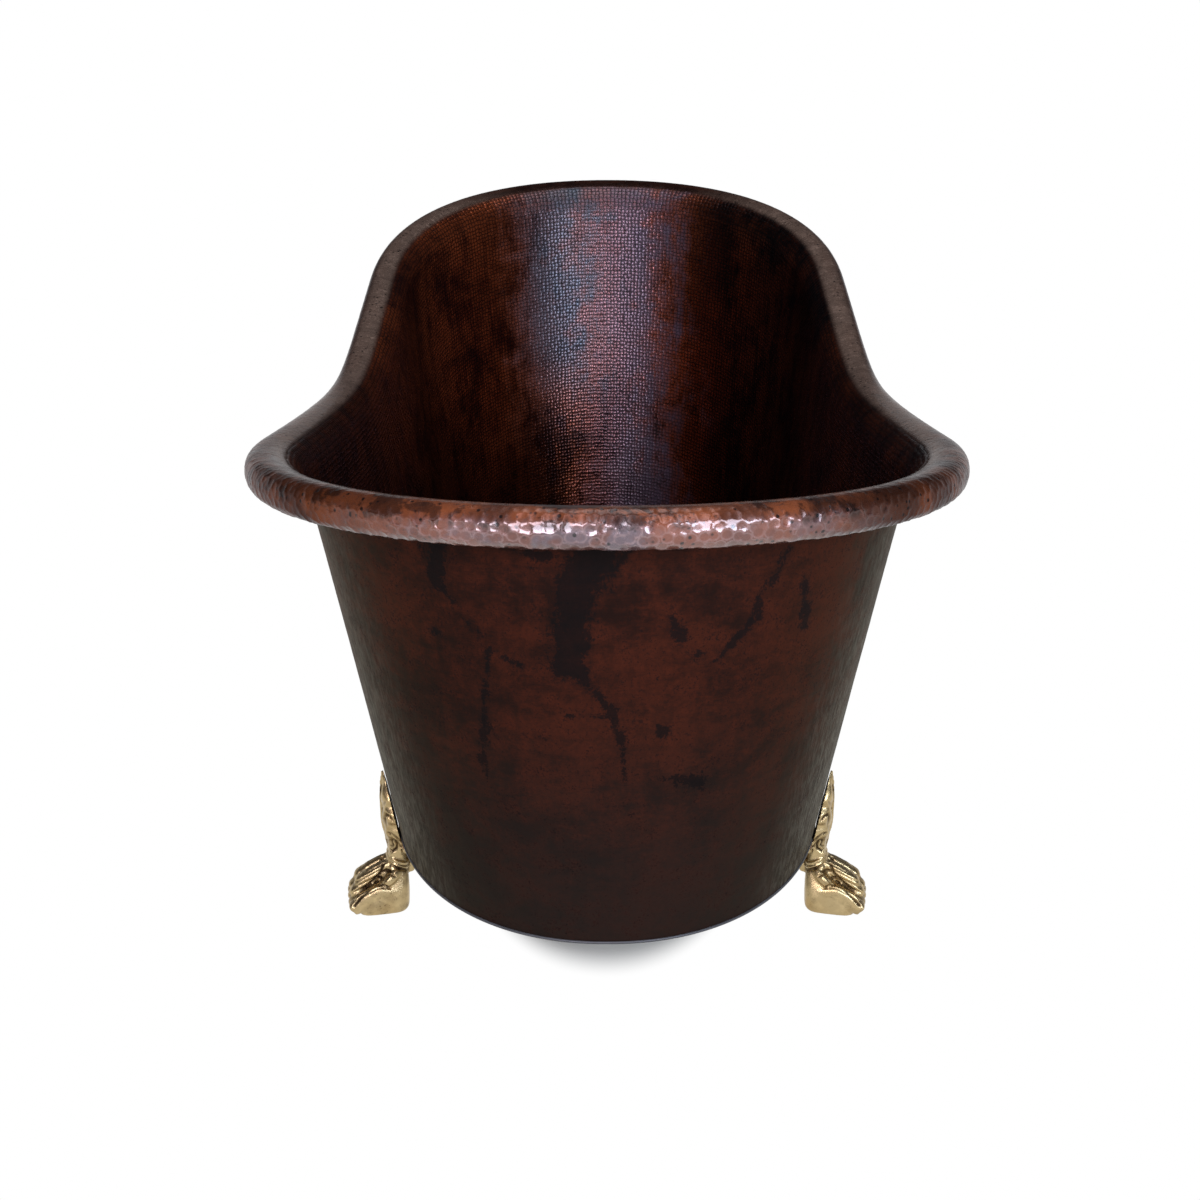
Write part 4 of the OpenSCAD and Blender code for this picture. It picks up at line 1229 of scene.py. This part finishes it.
# Creases cut into a foot's flanks, as X, Z and half width along each, in the foot's own frame
CREASES = (
    # Round the knuckle behind the outer toe, and over that toe to its tip
    ((0.010, 0.0505, 0.0004), (0.0165, 0.0545, 0.0010), (0.0265, 0.0525, 0.0014), (0.0310, 0.0465, 0.0016)),
    ((0.0310, 0.0465, 0.0016), (0.0250, 0.0402, 0.0012), (0.0165, 0.0352, 0.0004)),
    ((0.0310, 0.0465, 0.0016), (0.0425, 0.0372, 0.0013), (0.0535, 0.0275, 0.0012), (0.0620, 0.0170, 0.0008)),
    ((0.0265, 0.0525, 0.0013), (0.0240, 0.0620, 0.0010), (0.0170, 0.0725, 0.0008)),
    # Under and between the rings of the cuff
    ((-0.008, 0.0515, 0.0006), (0.004, 0.0572, 0.0008), (0.0155, 0.0622, 0.0006)),
    # The scroll over the ankle
    ((0.0095, 0.0965, 0.0007), (0.0058, 0.0890, 0.0010), (0.0068, 0.0825, 0.0011), (0.0125, 0.0790, 0.0011),
     (0.0172, 0.0815, 0.0009), (0.0176, 0.0875, 0.0005)),
    ((0.0095, 0.0965, 0.0007), (0.0128, 0.0930, 0.0008), (0.0108, 0.0870, 0.0008), (0.0138, 0.0845, 0.0004)),
    ((-0.004, 0.0790, 0.0004), (0.0020, 0.0850, 0.0007), (0.0065, 0.0950, 0.0005)),
    ((-0.001, 0.0880, 0.0004), (0.0070, 0.1010, 0.0007), (0.0135, 0.1080, 0.0005)),
    ((0.0150, 0.1050, 0.0012), (0.0160, 0.1062, 0.0012)),
    # The hollow of the lower lobe, and the veins over it
    ((0.0105, 0.1260, 0.0006), (0.0140, 0.1315, 0.0012), (0.0180, 0.1335, 0.0014), (0.0205, 0.1305, 0.0012),
     (0.0195, 0.1230, 0.0009), (0.0180, 0.1140, 0.0004)),
    ((0.0215, 0.1620, 0.0005), (0.0235, 0.1530, 0.0009), (0.0240, 0.1400, 0.0005)),
    ((0.0245, 0.1410, 0.0011), (0.0255, 0.1415, 0.0011)),
    ((0.0180, 0.1480, 0.0004), (0.0200, 0.1420, 0.0008), (0.0205, 0.1370, 0.0004)),
)


def carve(local, mesh):
    """Creases of the flanks, grooves of fur along the toes and the parting between them, each a narrow valley
    whose depth fades out at the ends, cut in along the normals. Gives the points and how deep in a cut each
    lies."""
    normals = vertex_values(mesh, "normal")
    x, y, z = local.T

    def valley(distance, width):
        """A bell that is 1 at no distance."""
        return np.exp(-(distance / width) ** 2)

    def inside(value, low, high, soft):
        """1 well between low and high, and 0 outside them."""
        return ramp_up(value, low, soft) * ramp_down(value, high, soft)

    flank = np.clip(np.abs(normals[:, 1]) * 2.2 - 0.3, 0, 1)
    crease = np.max([crooked_groove(x, z, path) for path in CREASES], 0)
    cut = 0.0026 * crease * flank
    # Bands of fur on the middle toes' sides, over the outer toe
    band = (z + 0.45 * (x - 0.035)) / 0.0058
    over_toe = inside(np.abs(y), 0.010, 0.0205, 0.002) * inside(x, 0.026, 0.067, 0.004)
    cut += 0.0011 * valley(band - np.round(band), 0.2) * flank * over_toe
    # Fur along the tops
    on_top = np.clip((normals[:, 2] - 0.15) * 3, 0, 1) * inside(z, 0.026, 0.070, 0.006)
    fan = y * (1 - 1.6 * (x - 0.03)) / 0.0047
    cut += 0.0008 * valley(fan - np.round(fan), 0.2) * on_top * inside(x, 0.014, 0.050, 0.008)
    # A crease across the toes' fronts, which swell and draw in at their joints
    front = np.clip(normals[:, 0] * 2 - 0.6, 0, 1)
    crossing = z - 0.0235 - 0.002 * np.cos(y * 390)
    cut += 0.0008 * valley(crossing, 0.0012) * front * inside(x, 0.048, 0.075, 0.004)
    toes = front * inside(x, 0.04, 0.09, 0.006) * inside(z, 0.004, 0.056, 0.005)
    cut -= 0.0011 * toes * np.cos(2 * math.pi * (z - 0.0445) / 0.0165)
    # Small dents of the casting
    dents = slow_waves(x * 7 + y * 3, z * 7 - y * 2, (0.05, 0.083, 0.12), 71)
    return local - normals * (cut + 0.0005 * (0.5 + 0.5 * dents))[:, None], np.clip(cut / 0.0028, 0, 1)


class BATH_OT_fixings(bpy.types.Operator):
    """Finishes of the pads, studs, washers and nuts under the floor"""
    bl_idname = "bath.fixings"
    bl_label = "Foot fixings"

    def execute(self, context):
        c = colours()
        dull = ((0.16, 0.07, 0.045), (0.3, 0.12, 0.07), c.copper_black)
        pads = copper("pad_copper_dull", dull, 0.5, 0.3, 0.02)
        turned = aged_brass("fixing_brass_turned", (0.6, 0.46, 0.25, 1), c.brass_dark, 0.32, False)
        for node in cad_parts:
            if node.endswith("_pad"):
                finish_node(node, pads)
        for node in ("foot_studs", "foot_washers", "foot_nuts"):
            finish_node(node, turned)
        return {"FINISHED"}


class BATH_OT_waste(bpy.types.Operator):
    """Finishes of the waste, its washers and its locknut"""
    bl_idname = "bath.waste"
    bl_label = "Waste"

    def execute(self, context):
        c = colours()
        brass = aged_brass("waste_brass_rubbed", (0.36, 0.23, 0.12, 1), c.brass_dark, 0.3, False)
        rubber = matt("seal_rubber_black", (0.02, 0.02, 0.021, 1), 0.6, 900.0)
        nylon = matt("washer_nylon_plain", (0.7, 0.68, 0.6, 1), 0.45, 700.0)
        turned = aged_brass("post_brass_turned", (0.55, 0.42, 0.22, 1), c.brass_dark, 0.28, False)
        for node in ("waste_body", "waste_locknut"):
            finish_node(node, brass)
        for node in ("flange_gasket", "rubber_washer", "stopper_seal"):
            finish_node(node, rubber)
        for node in ("slip_washer", "guide_bush"):
            finish_node(node, nylon)
        for node in ("stopper_post", "post_nut"):
            finish_node(node, turned)
        return {"FINISHED"}


class BATH_OT_stopper(bpy.types.Operator):
    """Finish of the stopper's cap and knob"""
    bl_idname = "bath.stopper"
    bl_label = "Stopper"

    def execute(self, context):
        c = colours()
        brass = aged_brass("stopper_brass_rubbed", (0.4, 0.26, 0.14, 1), c.brass_dark, 0.26, False)
        for node in ("stopper_cap", "stopper_knob"):
            finish_node(node, brass)
        return {"FINISHED"}


def finish_node(node, material):
    """Puts a finish on every material slot of a construction piece."""
    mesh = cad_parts[node].data
    if not mesh.materials:
        mesh.materials.append(material)
    for k in range(len(mesh.materials)):
        mesh.materials[k] = material


# Stage -------------------------------------------------------------------------------------------


# Half width and half length of the bath's foot on the floor, inside which the floor keeps its shadow
SHADOW = (0.2715, 0.6988)
# Lamps: name, place, point aimed at, width, height, watts and colour. Two tall soft panels lean back on either
# side of the camera, two lean forward over them, and one hangs over the head end.
LAMPS = (
    ("lamp_left", (-0.52, -2.6, 1.2), (-0.40, -1.78, 1.78), 0.8, 1.6, 76, (0.96, 0.91, 1.06)),
    ("lamp_right", (1.26, -2.5, 1.2), (0.73, -1.87, 1.78), 0.95, 1.6, 92, (0.8, 0.92, 1.14)),
    ("lamp_over_left", (-0.45, -2.3, 3.3), (-0.3, -0.6, 0.9), 0.6, 1.8, 24, (1.0, 0.9, 1.0)),
    ("lamp_over_right", (0.9, -2.3, 3.3), (0.5, -0.6, 0.9), 0.7, 1.8, 28, (0.82, 0.92, 1.1)),
    ("lamp_top", (0.05, 0.25, 3.3), (0.05, 0.2, 0.9), 0.9, 1.6, 20, (0.95, 0.96, 1.0)),
)
# Camera: place, pitch downward, focal length in millimetres and sideways shift
CAMERA_PLACE = (0, -1.90776, 0.82596)
CAMERA_PITCH = 0.285388
CAMERA_LENS = 39.068
CAMERA_SHIFT = -7 / 1200


class BATH_OT_stage(bpy.types.Operator):
    """Pale floor, soft lamps, world and camera"""
    bl_idname = "bath.stage"
    bl_label = "Stage"

    def lamp(self, name, place, towards, wide, high, power, colour):
        """A soft rectangular lamp at a place, aimed at a point and not seen itself."""
        data = bpy.data.lights.new(name, "AREA")
        data.shape = "RECTANGLE"
        data.size, data.size_y = wide, high
        data.energy = power
        data.color = colour
        obj = bpy.data.objects.new(name, data)
        bpy.context.scene.collection.objects.link(obj)
        place, towards = np.array(place, float), np.array(towards, float)
        back = place - towards
        back /= np.linalg.norm(back)
        right = np.cross([0, 0, 1], back)
        right /= np.linalg.norm(right)
        rise = np.cross(back, right)
        obj.matrix_world = Matrix([*zip(right, rise, back, place), (0, 0, 0, 1)])
        obj.visible_camera = False

    def execute(self, context):
        self.ground()
        self.sky()
        for lamp in LAMPS:
            self.lamp(*lamp)
        self.camera()
        bpy.context.scene.view_settings.view_transform = "Standard"
        return {"FINISHED"}

    def ground(self):
        """The floor: close under the bath it keeps most of its shadow, and further off it is plain white."""
        ground = new_paint("stage_ground")
        seen = ground.ray("Camera", "Glossy", "Transmission")
        scale = (1 / SHADOW[0], 1 / SHADOW[1], 0)
        where = ground.node("ShaderNodeMapping", None, {"Vector": ground.places(), "Scale": scale})
        away = ground.node("ShaderNodeVectorMath", {"operation": "LENGTH"}, {0: where}, "Value")
        plain = 0.05 + away.between(0.785, 0.88) * 0.95
        diffuse = ground.node("ShaderNodeBsdfDiffuse", None, {"Color": tuple(colours().ground)})
        glow = ground.node("ShaderNodeEmission", None, {"Color": (1, 1, 1, 1), "Strength": 1.0})
        mixed = ground.node("ShaderNodeMixShader", None, {0: seen * plain, 1: diffuse, 2: glow})
        ground.node("ShaderNodeOutputMaterial", None, {"Surface": mixed})
        half = 30
        corners = np.array([(-half, -half, 0), (half, -half, 0), (half, half, 0), (-half, half, 0)], float)
        floor = new_piece("stage_floor", corners, np.array([[0, 1, 2, 3]]), ground.owner)

    def sky(self):
        """The world: white where it is seen, and dim in reflections except low behind the bath."""
        world = bpy.data.worlds.new("studio")
        bpy.context.scene.world = world
        sky = Paint(world)
        way = sky.node("ShaderNodeTexCoord", output="Generated")
        behind = sky.part(way, "Y").between(-0.2, 0.4) * (1 - sky.part(way, "Z").between(0.05, 0.4))
        dim = sky.blend((0.07, 0.07, 0.08), (1, 1, 1), behind)
        plain = sky.blend((0.78, 0.79, 0.8), dim, sky.ray("Glossy"))
        tone = sky.blend(plain, (1, 1, 1), sky.ray("Camera", "Transmission"))
        back = sky.node("ShaderNodeBackground", None, {"Color": tone, "Strength": 1.0})
        sky.node("ShaderNodeOutputWorld", None, {"Surface": back})

    def camera(self):
        """The camera, where the photograph was taken from."""
        data = bpy.data.cameras.new("view")
        data.sensor_width = 36
        data.lens = CAMERA_LENS
        data.shift_x = CAMERA_SHIFT
        data.clip_end = 100
        camera = bpy.data.objects.new("view", data)
        bpy.context.scene.collection.objects.link(camera)
        camera.location = CAMERA_PLACE
        camera.rotation_euler = (math.pi / 2 - CAMERA_PITCH, 0, 0)
        bpy.context.scene.camera = camera


class BATH_PT_panel(bpy.types.Panel):
    """Sizes, colours and pieces of the bath"""
    bl_idname = "BATH_PT_panel"
    bl_label = "Slipper bath"
    bl_space_type = "VIEW_3D"
    bl_region_type = "UI"
    bl_category = "Bath"

    def draw(self, context):
        for group in (context.scene.bath_sizes, context.scene.bath_colours):
            for name in group.__annotations__:
                self.layout.prop(group, name)
        for operator in OPERATORS:
            self.layout.operator(operator.bl_idname)


OPERATORS = (
    BATH_OT_rim, BATH_OT_wall_outside, BATH_OT_wall_inside, BATH_OT_floor_sheet, BATH_OT_feet,
    BATH_OT_fixings, BATH_OT_waste, BATH_OT_stopper, BATH_OT_stage,
)
CLASSES = (BathSizes, BathColours, *OPERATORS, BATH_PT_panel)


def register():
    """Adds the classes and the scene's settings."""
    for cls in CLASSES:
        bpy.utils.register_class(cls)
    bpy.types.Scene.bath_sizes = PointerProperty(type=BathSizes)
    bpy.types.Scene.bath_colours = PointerProperty(type=BathColours)


def unregister():
    """Takes the classes and the scene's settings out again."""
    del bpy.types.Scene.bath_colours
    del bpy.types.Scene.bath_sizes
    for cls in reversed(CLASSES):
        bpy.utils.unregister_class(cls)


def main():
    """Builds every piece and the stage."""
    register()
    bpy.ops.bath.rim()
    bpy.ops.bath.wall_outside()
    bpy.ops.bath.wall_inside()
    bpy.ops.bath.floor_sheet()
    bpy.ops.bath.feet()
    bpy.ops.bath.fixings()
    bpy.ops.bath.waste()
    bpy.ops.bath.stopper()
    bpy.ops.bath.stage()


if __name__ == "__main__":
    main()
